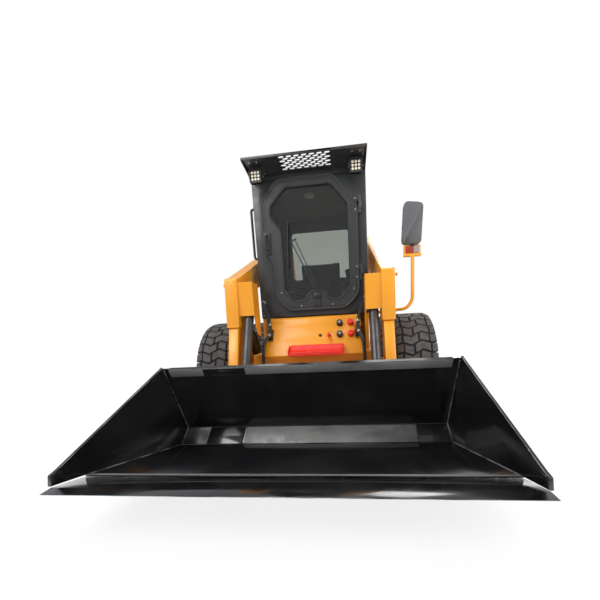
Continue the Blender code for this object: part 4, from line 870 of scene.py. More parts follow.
def build_bucket():
    """Liner, heel strip, worn lip, cutting edge, welds, side cutters and back ribs."""
    body = "bucket_unit"
    inner = BUCKET_HALF - CHEEK
    floor_reach = 1 - EDGE_DEPTH / (Vector(TIP) - Vector(HEEL)).length

    mesh = bmesh.new()
    slab(mesh, LIP, FOOT, (0.13, 0.985), (-0.0005, 0.0016), -inner + 0.001, inner - 0.001)
    add("bucket_rear_liner", mesh, "bucket_paint", body)

    mesh = bmesh.new()
    # The middle band, in grey steel, is a painted reflection on the sloped strip; its ends stay black.
    for x0, x1, mark in ((-0.735, -0.475, 0), (-0.460, 0.705, 1), (0.712, inner - 0.006, 0)):
        slab(mesh, FOOT, HEEL, (0.03, 0.97), (-0.0005, 0.0030), x0, x1, mark)
    slab(mesh, FOOT, HEEL, (0.06, 0.94), (-0.0005, 0.0028), -0.474, -0.461, 2)
    add("bucket_heel_strip", mesh, ("bucket_paint", "scuffed_steel", "weld_metal"), body,
        width=0.0008)

    mesh = bmesh.new()
    deep = LIP_BAR / (Vector(FOOT) - Vector(LIP)).length
    ends = BUCKET_HALF - LIP_BAR - 0.001
    for x0, x1, mark in ((-ends, -0.648, 0), (-0.647, -0.372, 1), (-0.371, ends, 0)):
        slab(mesh, LIP, FOOT, (0.004, deep - 0.004), (0.010, 0.0152), x0, x1, mark)
    add("bucket_lip_face", mesh, ("scuffed_steel", "bucket_paint"), body, width=0.0012)
    stitches = []
    for x0, x1 in ((-0.62, -0.585), (-0.55, -0.515), (-0.48, -0.445), (-0.41, -0.38), (-ends, -0.82),
                   (-0.36, -0.30), (0.10, 0.62), (0.66, ends)):
        foot_of_bar = raised(LIP, FOOT, deep + 0.003, 0.003)
        stitches.append([at(x0, *foot_of_bar), at(x1, *foot_of_bar)])
    weld("bucket_lip_stitches", stitches, 0.0038, "weld_metal", body)

    mesh = copy_of("cutting_edge")
    # Faces turned forward, and the rounded edges, take pale steel as a painted reflection.
    for face in mesh.faces:
        face.material_index = 1 if face.normal.y < -0.75 else 0
    dress("cutting_edge", "cutting_edge_skin", "bucket_paint", 0.0022, "bright_edge", mesh)

    mesh = bmesh.new()
    slab(mesh, HEEL, TIP, (floor_reach - 0.002, floor_reach + 0.012), (-0.0015, 0.0022),
         -inner + 0.001, inner - 0.001)
    add("bucket_floor_lap", mesh, "scuffed_steel", body, width=0.001)

    lip_low = raised(LIP, FOOT, 0.03, 0.002)
    foot_in = raised(FOOT, HEEL, 0.0, 0.003)
    heel_in = raised(HEEL, TIP, 0.004, 0.003)
    seam = raised(HEEL, TIP, floor_reach - 0.004, 0.001)
    routes = []
    for side in (-1, 1):
        x = side * (inner - 0.0015)
        corner = [at(x, *point) for point in (lip_low, foot_in, heel_in,
                                              raised(HEEL, TIP, floor_reach, 0.0))]
        routes.append(corner)
    weld("bucket_side_welds", routes, 0.0042, "weld_metal", body)
    span = [at(-inner, *seam), at(inner, *seam)]
    weld("bucket_floor_weld", [span], 0.0030, "bucket_paint", body)
    span = [at(-inner, *foot_in), at(inner, *foot_in)]
    weld("bucket_heel_weld", [span], 0.0032, "bucket_paint", body)

    mesh = bmesh.new()
    for side in (-1, 1):
        x0, x1 = sorted((side * (BUCKET_HALF - 0.0005), side * (BUCKET_HALF - CHEEK - 0.003)))
        outline = [raised(HEEL, TIP, 0.925, 0.001), raised(HEEL, TIP, 0.975, 0.001),
                   raised(HEEL, TIP, 0.968, 0.040), raised(HEEL, TIP, 0.930, 0.052)]
        across(mesh, outline, x0, x1 - x0)
    add("side_cutters", mesh, "bucket_paint", body, width=0.0012)

    mesh = bmesh.new()
    for x in (-0.78, -0.26, 0.26, 0.78):
        outline = [raised(LIP, FOOT, 0.10, -0.011), raised(LIP, FOOT, 0.86, -0.011),
                   raised(LIP, FOOT, 0.80, -0.045), raised(LIP, FOOT, 0.16, -0.030)]
        across(mesh, outline, x - 0.005, 0.010)
    add("bucket_back_ribs", mesh, "bucket_paint", body, width=0.0015)


# ---- cab ------------------------------------------------------------------------------------
DOOR_OUTLINE = [(-0.215, 0.948), (0.275, 0.948), (0.385, 1.060), (0.385, 1.750), (0.208, 1.972),
                (-0.255, 1.972), (-0.385, 1.820), (-0.385, 1.460), (-0.310, 1.330), (-0.310, 1.070)]
GLASS_OUTLINE = [(-0.170, 1.030), (-0.065, 1.030), (-0.020, 1.100), (0.090, 1.100),
                 (0.135, 1.030), (0.225, 1.030), (0.312, 1.120), (0.312, 1.745), (0.178, 1.905),
                 (-0.180, 1.905), (-0.312, 1.770), (-0.312, 1.690), (-0.232, 1.580),
                 (-0.232, 1.120)]
DOOR_FACE = -0.120
CAB_HALF = 0.455
CAB_BACK = 0.920
VISOR_Y = (-0.310, -0.080)          # front edge, cab front
VISOR_Z = (2.0373, 2.0220)          # its underside at those two
MESH_X = (-0.190, 0.200)
MESH_Y = (-0.292, -0.118)


def inset(corners, distance):
    """A polygon drawn anticlockwise, with each side moved inwards."""
    moved = []
    for index, corner in enumerate(corners):
        here = Vector(corner)
        first = (here - Vector(corners[index - 1])).normalized()
        second = (Vector(corners[(index + 1) % len(corners)]) - here).normalized()
        normal = Vector((-first.y, first.x))
        bisector = (normal + Vector((-second.y, second.x))).normalized()
        moved.append(tuple(here + bisector * (distance / max(bisector.dot(normal), 0.3))))
    return moved


def eased(corners, radius, steps=4):
    """A closed outline with rounded corners."""
    points = []
    for index, corner in enumerate(corners):
        here = Vector(corner)
        before = Vector(corners[index - 1]) - here
        after = Vector(corners[(index + 1) % len(corners)]) - here
        reach = min(radius, before.length * 0.45, after.length * 0.45)
        start = here + before.normalized() * reach
        end = here + after.normalized() * reach
        for step in range(steps + 1):
            share = step / steps
            points.append(start.lerp(here, share).lerp(here.lerp(end, share), share))
    return points


def moulding(mesh, outline, section, place):
    """A closed moulding of a (inwards, height) section, set by a rule for its places."""
    rings = []
    count = len(outline)
    for index, point in enumerate(outline):
        way = (outline[(index + 1) % count] - outline[index - 1]).normalized()
        inwards = Vector((-way.y, way.x))
        rings.append([mesh.verts.new(place(point + inwards * across, height)) for across,
                      height in section])
    for index in range(count):
        first = rings[index]
        second = rings[(index + 1) % count]
        for corner in range(len(section)):
            after = (corner + 1) % len(section)
            quad = (first[corner], first[after], second[after], second[corner])
            mesh.faces.new(quad)


def trim(mesh, outline, y, section):
    """A moulding along an (x, z) outline, its height forwards."""
    moulding(mesh, outline, section, lambda spot, height: at(spot.x, y - height, spot.y))


def side_trim(mesh, outline, x, side, section):
    """A moulding along a (y, z) outline on the cab's side, its height outwards."""
    moulding(mesh, outline, section, lambda spot, height: at(side * (x + height), spot.x, spot.y))


def bead(width, height, steps=6):
    """A half-round section standing on its base."""
    return [(width / 2 * math.cos(math.pi * step / steps), height * math.sin(math.pi * step / steps))
            for step in range(steps + 1)]


def visor_under(y):
    """Height of the visor's underside."""
    return VISOR_Z[0] + (VISOR_Z[1] - VISOR_Z[0]) * (y - VISOR_Y[0]) / (VISOR_Y[1] - VISOR_Y[0])


def visor_mesh(mesh):
    """The pierced sheet in the middle of the visor: rows of lozenges, every second row shifted."""
    columns = 7
    rows = 7
    pitch_x = (MESH_X[1] - MESH_X[0]) / columns
    pitch_y = (MESH_Y[1] - MESH_Y[0]) / rows
    web = 0.16
    wide = pitch_x * (0.5 - web / 2)
    tall = pitch_y * (0.5 - web / 2)
    verts = {}

    def vert(x, y):
        key = (round(x, 5), round(y, 5))
        if key not in verts:
            verts[key] = mesh.verts.new(at(x, y, visor_under(y) + 0.0042))
        return verts[key]

    for row in range(rows):
        shift = 0.5 if row % 2 else 0.0
        y0 = MESH_Y[0] + row * pitch_y
        for column in range(-1, columns + 1):
            x0 = MESH_X[0] + (column + shift) * pitch_x
            x1 = x0 + pitch_x
            if x1 < MESH_X[0] + 0.001 or x0 > MESH_X[1] - 0.001:
                continue
            left = max(x0, MESH_X[0])
            right = min(x1, MESH_X[1])
            outer = [vert(left, y0), vert(right, y0), vert(right, y0 + pitch_y), vert(left, y0 + pitch_y)]
            if right - left < pitch_x * 0.9:
                mesh.faces.new(outer)
                continue
            x = (x0 + x1) / 2
            y = y0 + pitch_y / 2
            hole = [vert(x + wide * across, y + tall * along) for across, along in
                    ((-1, -0.10), (-0.35, -1), (0.75, -1), (1, 0.10), (0.35, 1), (-0.75, 1))]
            for corners in ((outer[0], outer[1], hole[2], hole[1]),
                            (outer[1], outer[2], hole[3], hole[2]),
                            (outer[2], hole[4], hole[3]), (outer[2], outer[3], hole[5], hole[4]),
                            (outer[3], outer[0], hole[0], hole[5]), (outer[0], hole[1], hole[0])):
                mesh.faces.new(corners)


def build_roof():
    """Roof pan with ribs, visor with its mesh, side cheeks and bolts."""
    body = BODY["cab_roof"]
    mesh = bmesh.new()
    frame_parts = ((-CAB_HALF, MESH_X[0], VISOR_Y[0], VISOR_Y[1] + 0.012),
                   (MESH_X[1], CAB_HALF, VISOR_Y[0], VISOR_Y[1] + 0.012),
                   (MESH_X[0], MESH_X[1], VISOR_Y[0], MESH_Y[0]),
                   (MESH_X[0], MESH_X[1], MESH_Y[1], VISOR_Y[1] + 0.012))
    for x0, x1, y0, y1 in frame_parts:
        low = visor_under(y0)
        high = visor_under(y1)
        outline = [(y0, low), (y1, high), (y1, high + 0.0085), (y0, low + 0.0085)]
        across(mesh, outline, x0, x1 - x0)
    for side in (-1, 1):
        cheek = [(VISOR_Y[1] + 0.010, 1.9856), (VISOR_Y[1] + 0.010, 2.032), (VISOR_Y[0], 2.0450),
                 (VISOR_Y[0], 2.0290)]
        across(mesh, cheek, min(side * CAB_HALF, side * (CAB_HALF - 0.008)), 0.008)
    block(mesh, (-CAB_HALF, VISOR_Y[0], 2.0310), (CAB_HALF, VISOR_Y[0] + 0.006, 2.0490))
    low, high = 1.9856, 2.0353
    crown_line = [(-0.0795, low), (0.950, low), (0.950, 2.0120), (0.925, 2.0200), (0.860, high),
                  (-0.0795, high)]
    across(mesh, crown_line, -CAB_HALF, 2 * CAB_HALF)
    outward(mesh)
    round_edges(mesh, 0.0012)
    loose = bmesh.new()
    visor_mesh(loose)
    bmesh.ops.remove_doubles(loose, verts=loose.verts, dist=0.00005)
    bmesh.ops.recalc_face_normals(loose, faces=loose.faces)
    bmesh.ops.solidify(loose, geom=loose.faces[:], thickness=0.003)
    bmesh.ops.recalc_face_normals(loose, faces=loose.faces)
    grid = bpy.data.meshes.new("visor_grid")
    loose.to_mesh(grid)
    loose.free()
    mesh.from_mesh(grid)
    bpy.data.meshes.remove(grid)
    settle(piece_from("cab_roof_skin", mesh, "cab_paint"), body, ("cab_roof",))

    mesh = bmesh.new()
    for x in (-0.30, -0.10, 0.10, 0.30):
        upright(mesh, [(x - 0.040, 0), (x + 0.040, 0), (x + 0.028, 0.0065), (x - 0.028, 0.0065)],
                at(0, 0.80, 2.0350), 0.78)
    add("roof_ribs", mesh, "cab_paint", body, width=0.002)
    bolts = []
    for side in (-1, 1):
        for x in (0.350, 0.405):
            bolts.append((at(side * x, -0.262, 2.0335), facing((0, 0, -1), x)))
        for y in (-0.04, 0.24, 0.56, 0.86):
            bolts.append((at(side * 0.430, y, 2.0353), facing((0, 0, 1), y)))
        bolts.append((at(side * 0.330, -0.110, 2.0235), facing((0, 0, -1), 0.4)))
    set_out("roof_bolts", HEX_SCREW, bolts, "bare_steel", body)


def led():
    """The lens over one diode."""
    mesh = bmesh.new()
    turn_on(mesh, [(0, 0.0092), (0.0030, 0.0092), (0.0042, 0.0078), (0.0052, 0.0050), (0.0056, 0)],
            ORIGIN, UP, 14)
    return shape_data("led", mesh)


def build_lamps():
    """Work lamps: finned housing, reflector, nine diodes and a bracket."""
    lens = led()
    for hand in ("left", "right"):
        node = f"work_lamp_{hand}"
        low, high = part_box(node)
        middle_x = (low[0] + high[0]) / 2
        front = low[1]
        top = high[2] - 0.0235
        height = 0.100
        foot = low[2]
        body = BODY[node]
        mesh = bmesh.new()
        half = 0.046
        outline = [(middle_x - half, foot), (middle_x + half, foot), (middle_x + half, foot + height),
                   (middle_x - half, foot + height)]
        shape = eased(outline, 0.012)
        shell = [(0.0, 0.0), (0.0, 0.022), (0.003, 0.0245), (0.008, 0.0245), (0.009, 0.020),
                 (0.0095, 0.019)]
        trim(mesh, shape, front - AXLE_Y + 0.0245, shell + [(0.0095, 0.0)])
        upright(mesh, shape, Vector((0, front + 0.030, 0)), 0.026)
        for fin in range(7):
            x = middle_x - 0.036 + fin * 0.012
            prism(mesh, [(front + 0.029, foot + 0.010), (front + 0.048, foot + 0.014),
                         (front + 0.048, foot + height - 0.014), (front + 0.029, foot + height - 0.010)],
                  Vector((x - 0.0016, 0, 0)), (0, 1, 0), (0, 0, 1), 0.0032)
        add(f"{node}_housing", mesh, "black_plastic", body, (node,))
        mesh = bmesh.new()
        plate = eased(inset(outline, 0.0105), 0.008)
        upright(mesh, plate, Vector((0, front + 0.010, 0)), 0.004)
        add(f"{node}_reflector", mesh, "lamp_reflector", body)
        places = []
        for column in range(3):
            for row in range(3):
                spot = Vector((middle_x + (column - 1) * 0.0235, front + 0.0062,
                               foot + height / 2 + (row - 1) * 0.0235))
                places.append((spot, facing((0, -1, 0))))
        set_out(f"{node}_leds", lens, places, "lamp_led", body)
        mesh = bmesh.new()
        bracket = [Vector((middle_x - 0.052, front + 0.028, foot + 0.050)),
                   Vector((middle_x - 0.052, front + 0.028, top + 0.016)),
                   Vector((middle_x + 0.052, front + 0.028, top + 0.016)),
                   Vector((middle_x + 0.052, front + 0.028, foot + 0.050))]
        for start, end in zip(bracket, bracket[1:]):
            way = (end - start).normalized()
            wide = Vector((0, 1, 0))
            thick = way.cross(wide) * 0.0018
            corners = [start - wide * 0.011 - thick, start + wide * 0.011 - thick,
                       start + wide * 0.011 + thick, start - wide * 0.011 + thick]
            near = [mesh.verts.new(corner) for corner in corners]
            far = [mesh.verts.new(corner + (end - start)) for corner in corners]
            mesh.faces.new(near)
            mesh.faces.new(far[::-1])
            for index in range(4):
                after = (index + 1) % 4
                mesh.faces.new((near[index], near[after], far[after], far[index]))
        turn_on(mesh, [(0, 0.007), (high[2] - top - 0.014, 0.007)],
                Vector((middle_x, front + 0.028, top + 0.014)),
                UP, 12)
        add(f"{node}_bracket", mesh, "cab_paint", body)
        bolts = [(Vector((middle_x + hand_of * 0.0535, front + 0.028, foot + 0.052)),
                  facing((hand_of, 0, 0)))
                 for hand_of in (-1, 1)]
        set_out(f"{node}_bolts", HEX_SCREW, bolts, "bare_steel", body, scale=0.8)


def wiper_arm(mesh, start, end, radius, lift=0.010):
    """An arm that stands off the glass and comes down towards the blade."""
    line = [start, start + Vector((0, -lift, 0)) + (end - start) * 0.08,
            end + Vector((0, -lift * 0.6, 0))]
    pipe(mesh, smooth_route(line), radius, 8, flat=0.6)


def build_door():
    """Rim, gasket, wiper, bolts and latch of the cab door."""
    body = BODY["door_frame"]
    mesh = bmesh.new()
    outer = eased(DOOR_OUTLINE, 0.05)
    trim(mesh, outer, DOOR_FACE, [(0.0015, -0.030), (0.0015, 0.0015), (0.004, 0.0045), (0.011, 0.0050),
                                  (0.016, 0.0030), (0.018, 0.0), (0.018, -0.030)])
    trim(mesh, eased(inset(DOOR_OUTLINE, 0.030), 0.04), DOOR_FACE, bead(0.007, 0.0030))
    add("door_rim", mesh, "cab_paint", body)
    mesh = bmesh.new()
    pane = eased(GLASS_OUTLINE, 0.025)
    trim(mesh, pane, DOOR_FACE, [(-0.011, -0.001), (-0.011, 0.0030), (-0.008, 0.0048), (-0.002, 0.0050),
                                 (0.003, 0.0030), (0.007, -0.004), (0.0080, -0.0115), (-0.0005, -0.0115)])
    trim(mesh, pane, DOOR_FACE + 0.0182, [(-0.0005, -0.010), (0.0, -0.0002), (0.0080, -0.0002),
                                          (0.0070, -0.006)])
    add("door_gasket", mesh, "hose_rubber", body)
    mesh = bmesh.new()
    trim(mesh, eased(inset(DOOR_OUTLINE, 0.008), 0.04), -0.0865,
         [(0.0, 0.0005), (0.0, 0.0045), (0.006, 0.0058),
                                                               (0.012, 0.0045), (0.012, 0.0005)])
    add("doorway_seal", mesh, "hose_rubber", BODY["door_frame"])

    mesh = bmesh.new()
    foot = at(0.035, DOOR_FACE - 0.002, 1.060)
    turn_on(mesh, [(0, 0.034), (0.010, 0.033), (0.016, 0.026), (0.018, 0.012), (0.026, 0.011),
                   (0.028, 0)],
            foot, (0, -1, 0), 24)
    block(mesh, (0.008, DOOR_FACE - 0.014, 0.975), (0.062, DOOR_FACE - 0.001, 1.055))
    add("wiper_motor", mesh, "black_plastic", body, width=0.003)
    mesh = bmesh.new()
    start = at(0.040, DOOR_FACE - 0.013, 1.085)
    tip = at(-0.155, DOOR_FACE - 0.006, 1.500)
    second = start + Vector((0.018, 0, 0.004))
    wiper_arm(mesh, start, tip, 0.0052)
    wiper_arm(mesh, second, tip + Vector((0.034, 0, 0.010)), 0.0042)
    pipe(mesh, [tip + Vector((-0.012, 0, -0.008)), tip + Vector((0.046, 0, 0.016))], 0.006, 8)
    for spot in (start, second):
        turn_on(mesh, [(-0.012, 0.0088), (0.003, 0.0088), (0.005, 0.0070), (0.005, 0)], spot, (0, -1, 0),
                16)
    add("wiper_arms", mesh, "black_plastic", body)
    mesh = bmesh.new()
    low = at(-0.190, DOOR_FACE - 0.001, 1.290)
    high = at(-0.170, DOOR_FACE - 0.001, 1.650)
    for lift, radius in ((0.0085, 0.0042), (0.0030, 0.0026)):
        pipe(mesh, [low + Vector((0, -lift, 0)), low.lerp(high, 0.5) + Vector((0, -lift - 0.001, 0)),
                    high + Vector((0, -lift, 0))], radius, 8)
    for share in (0.12, 0.5, 0.88):
        spot = low.lerp(high, share)
        turn_on(mesh, [(-0.010, 0.005), (0.010, 0.005)], spot + Vector((0, -0.0075, 0)), (0.05, 0, 1), 10)
    add("wiper_blade", mesh, "black_plastic", body)
    bolts = []
    for z in (1.190, 1.270, 1.695, 1.775):
        bolts.append((at(0.366, DOOR_FACE - 0.001, z), facing((0, -1, 0), z)))
    for x, z in ((-0.10, 0.985), (0.160, 0.985), (-0.26, 1.10), (0.34, 1.10)):
        bolts.append((at(x, DOOR_FACE - 0.0015, z), facing((0, -1, 0), x)))
    set_out("door_bolts", DOME_SCREW, bolts, "bare_steel", body)
    mesh = copy_of("door_handle")
    round_edges(mesh, 0.0014)
    x, z = -0.348, 1.500
    latch = eased([(x - 0.020, z - 0.080), (x + 0.020, z - 0.080), (x + 0.020, z - 0.020),
                   (x - 0.020, z - 0.020)], 0.008)
    trim(mesh, latch, DOOR_FACE - 0.0100, bead(0.004, 0.0022))
    turn_on(mesh, [(0, 0.012), (0.004, 0.012), (0.006, 0.010), (0.006, 0)],
            at(x, DOOR_FACE - 0.0101, z - 0.076),
            (0, -1, 0), 20)
    bmesh.ops.recalc_face_normals(mesh, faces=mesh.faces)
    settle(piece_from("door_handle_skin", mesh, "black_plastic"), body, ("door_handle",))


def build_windows():
    """Rubber seals of side and rear panes, and screws round the cab."""
    window = [(0.130, 1.180), (0.820, 1.180), (0.820, 1.880), (0.090, 1.880), (0.090, 1.240)]
    for hand, side in SIDES:
        mesh = bmesh.new()
        line = eased(window, 0.05)
        side_trim(mesh, line, CAB_HALF, side, [(-0.012, 0.0), (-0.010, 0.0040), (-0.003, 0.0052),
                                            (0.004, 0.0030),
                                            (0.0095, -0.0100), (0.0095, -0.0138), (0.0003, -0.0138)])
        side_trim(mesh, line, 0.4347, side, [(0.0003, -0.0002), (0.010, -0.0002), (0.008, -0.006),
                                             (0.0003, -0.0085)])
        add(f"side_seal_{hand}", mesh, "hose_rubber", BODY[f"cab_side_{hand}"])
        screws = []
        for y in (-0.02, 0.28, 0.60, 0.89):
            for z in (0.935, 1.950):
                screws.append((at(side * CAB_HALF, y, z), facing((side, 0, 0), y)))
        set_out(f"cab_side_screws_{hand}", HEX_SCREW, screws, "bare_steel", BODY[f"cab_side_{hand}"])
        mesh = bmesh.new()
        line = eased([(0.02, 0.965), (0.88, 0.965), (0.88, 1.120), (0.02, 1.120)], 0.03)
        side_trim(mesh, line, CAB_HALF, side, bead(0.010, 0.0035))
        add(f"cab_side_swage_{hand}", mesh, "cab_paint", BODY[f"cab_side_{hand}"])
    mesh = bmesh.new()
    line = eased([(-0.330, 1.330), (0.330, 1.330), (0.330, 1.860), (-0.330, 1.860)], 0.05)
    trim(mesh, line, CAB_BACK, [(-0.012, 0.0), (-0.010, -0.0040), (-0.003, -0.0052), (0.004, -0.0030),
                             (0.0095, 0.0100), (0.0095, 0.0138), (0.0003, 0.0138)])
    add("rear_seal", mesh, "hose_rubber", BODY["cab_rear"])
    mounts = []
    for z in (1.800, 1.405):
        mounts.append((at(-0.4553, -0.022, z), facing((-1, 0, 0))))
    mesh = bmesh.new()
    turn_on(mesh, [(0, 0.021), (0.003, 0.021), (0.006, 0.014), (0.012, 0.0125)], ORIGIN, UP, 20)
    set_out("grab_handle_flanges", shape_data("flange", mesh), mounts, "cab_paint",
            BODY["cab_side_right"])
    screws = []
    for side in (-1, 1):
        for z in (0.925, 1.000):
            screws.append((at(side * 0.435, -0.080, z), facing((0, -1, 0), z)))
    set_out("cab_front_screws", HEX_SCREW, screws, "bare_steel", BODY["cab_front"],
            scale=0.9)


# ---- inside the cab -------------------------------------------------------------------------
def swollen(shape, push, most):
    """The shape after its cover is blown out by soft filling, no point further than a limit."""
    cloth = shape.modifiers.new("filling", "CLOTH")
    cloth.settings.quality = 4
    cloth.settings.mass = 0.25
    cloth.settings.tension_stiffness = 12
    cloth.settings.compression_stiffness = 12
    cloth.settings.bending_stiffness = 0.4
    cloth.settings.use_pressure = True
    cloth.settings.uniform_pressure_force = push
    cloth.settings.effector_weights.gravity = 0
    cloth.point_cache.frame_start = 1
    cloth.point_cache.frame_end = 20
    scene = bpy.context.scene
    for step in range(1, 21):
        scene.frame_set(step)
    graph = bpy.context.evaluated_depsgraph_get()
    blown = shape.evaluated_get(graph).to_mesh()
    places = [vert.co.copy() for vert in blown.vertices]
    shape.evaluated_get(graph).to_mesh_clear()
    shape.modifiers.clear()
    scene.frame_set(1)
    for vert, place in zip(shape.data.vertices, places):
        way = place - vert.co
        if way.length > most:
            way = way.normalized() * most
        vert.co += way


def pad(name, node, margin, seams, face):
    """A stuffed cushion in the space of its plain solid, with sewn channels on one face."""
    low, high = (Vector(corner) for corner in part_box(node))
    middle = (low + high) / 2
    mesh = copy_of(node)
    for vert in mesh.verts:
        offset = vert.co - middle
        for axis in range(3):
            half = (high - low)[axis] / 2
            offset[axis] *= (half - margin) / half
        vert.co = middle + offset
    round_edges(mesh, 0.016, segments=3)
    shape = piece_from(name, mesh, "seat_cover")
    step = shape.modifiers.new("even", "REMESH")
    step.mode = "VOXEL"
    step.voxel_size = 0.0055
    bpy.context.view_layer.update()
    graph = bpy.context.evaluated_depsgraph_get()
    even = bpy.data.meshes.new_from_object(shape.evaluated_get(graph))
    shape.modifiers.clear()
    shape.data = even
    even.materials.clear()
    even.materials.append(look("seat_cover"))
    swollen(shape, 4.0, 0.014)
    face = Vector(face).normalized()
    for vert in even.vertices:
        here = vert.co - middle
        if here.dot(face) < 0:
            continue
        for axis, place in seams:
            gap = abs(here[axis] - place)
            vert.co -= face * 0.0075 * math.exp(-(gap / 0.0075) ** 2)
        for axis in range(3):
            vert.co[axis] = min(max(vert.co[axis], low[axis] + 0.0005), high[axis] - 0.0005)
    settle(shape, BODY[node], (node,), crease=70)


def build_interior():
    """Seat, headliner, rear lining, window guards and levers."""
    pad("seat_cushion_pad", "seat_cushion", 0.012, ((0, -0.150), (0, 0.150), (1, -0.060), (1, 0.060)),
        (0, 0, 1))
    pad("seat_back_pad", "seat_back", 0.012, ((0, -0.145), (0, 0.145), (2, -0.120), (2, 0.0), (2, 0.120)),
        (0, -1, 0.1))
    roof = BODY["cab_roof"]
    mesh = bmesh.new()
    block(mesh, (-0.420, -0.040, 1.968), (0.420, 0.880, 1.9845))
    block(mesh, (-0.300, 0.080, 1.958), (0.300, 0.760, 1.969))
    add("headliner", mesh, "lining", roof, width=0.004)
    mesh = bmesh.new()
    turn_on(mesh, [(0, 0.050), (0.006, 0.050), (0.016, 0.038), (0.020, 0.018), (0.021, 0)],
            at(-0.02, 0.20, 1.9585), (0, 0, -1), 24)
    add("dome_lamp", mesh, "lamp_led", roof)
    mesh = bmesh.new()
    for row in range(11):
        z = 0.955 + row * 0.033
        across(mesh, [(0.8875, z - 0.011), (0.8800, z - 0.006), (0.8800, z + 0.006),
                      (0.8875, z + 0.011)], -0.400, 0.800)
    add("rear_lining", mesh, "lining", BODY["cab_rear"])
    for hand, side in SIDES:
        mesh = bmesh.new()
        x = side * 0.4215
        low_y, high_y, low_z, high_z = 0.100, 0.810, 1.190, 1.870
        span = (high_y - low_y) + (high_z - low_z)
        count = 22
        for index in range(1, count):
            run = span * index / count
            for slant in (1, -1):
                start_y = low_y + max(0.0, run - (high_z - low_z))
                end_y = low_y + min(run, high_y - low_y)
                start_z = low_z + min(run, high_z - low_z)
                end_z = start_z - (end_y - start_y)
                if slant < 0:
                    start_z = low_z + high_z - start_z
                    end_z = low_z + high_z - end_z
                pipe(mesh, [at(x - side * 0.002 * slant, start_y, start_z),
                            at(x - side * 0.002 * slant, end_y, end_z)], 0.0021, 5)
        line = [at(x, low_y, low_z), at(x, high_y, low_z), at(x, high_y, high_z), at(x, low_y, high_z)]
        for index in range(4):
            pipe(mesh, [line[index], line[(index + 1) % 4]], 0.0045, 8)
        add(f"window_guard_{hand}", mesh, "cab_paint", BODY[f"cab_side_{hand}"])
        mesh = bmesh.new()
        top = at(side * 0.300, 0.33, 1.290)
        foot = at(side * 0.305, 0.42, 1.100)
        way = (top - foot).normalized()
        boot = [(0.018, 0.046)]
        for fold in range(5):
            boot += [(0.026 + fold * 0.016, 0.043 - fold * 0.004),
                     (0.032 + fold * 0.016, 0.036 - fold * 0.004)]
        boot += [(0.110, 0.019)]
        turn_on(mesh, boot, foot, way, 20)
        turn_on(mesh, [(-0.090, 0.0185), (-0.070, 0.024), (-0.030, 0.0215), (0.000, 0.026),
                       (0.020, 0.030),
                       (0.034, 0.024), (0.038, 0)], top, way, 20)
        for spot in (-0.010, 0.010):
            turn_on(mesh, [(0, 0.006), (0.003, 0.006), (0.0045, 0.004), (0.0045, 0)],
                    top + way * 0.034 + Vector((spot, 0, 0)), way, 12)
        add(f"lever_grip_{hand}", mesh, "black_plastic", BODY["seat_base"])
        mesh = bmesh.new()
        block(mesh, (min(side * 0.262, side * 0.345), 0.345, 1.1205),
              (max(side * 0.262, side * 0.345), 0.650, 1.140))
        for row in range(4):
            y = 0.47 + row * 0.04
            block(mesh, (side * 0.304 - 0.014, y, 1.1400), (side * 0.304 + 0.014, y + 0.020, 1.1450))
        add(f"arm_pod_cap_{hand}", mesh, "black_plastic", BODY["seat_base"], width=0.003)


# ---- front panel ----------------------------------------------------------------------------
PANEL_SLOPE = ((-0.168, 0.853), (-0.305, 0.594))        # y, z of its upper and lower fold


def on_panel(x, z, lift=0.0):
    """A point over the panel's slope."""
    (top_y, top_z), (low_y, low_z) = PANEL_SLOPE
    share = (top_z - z) / (top_z - low_z)
    return at(x, top_y + (low_y - top_y) * share, z) + panel_way() * lift


def panel_way():
    """The way the panel's slope faces."""
    (top_y, top_z), (low_y, low_z) = PANEL_SLOPE
    way = Vector((low_y - top_y, low_z - top_z)).normalized()
    return Vector((0, way.y, -way.x))


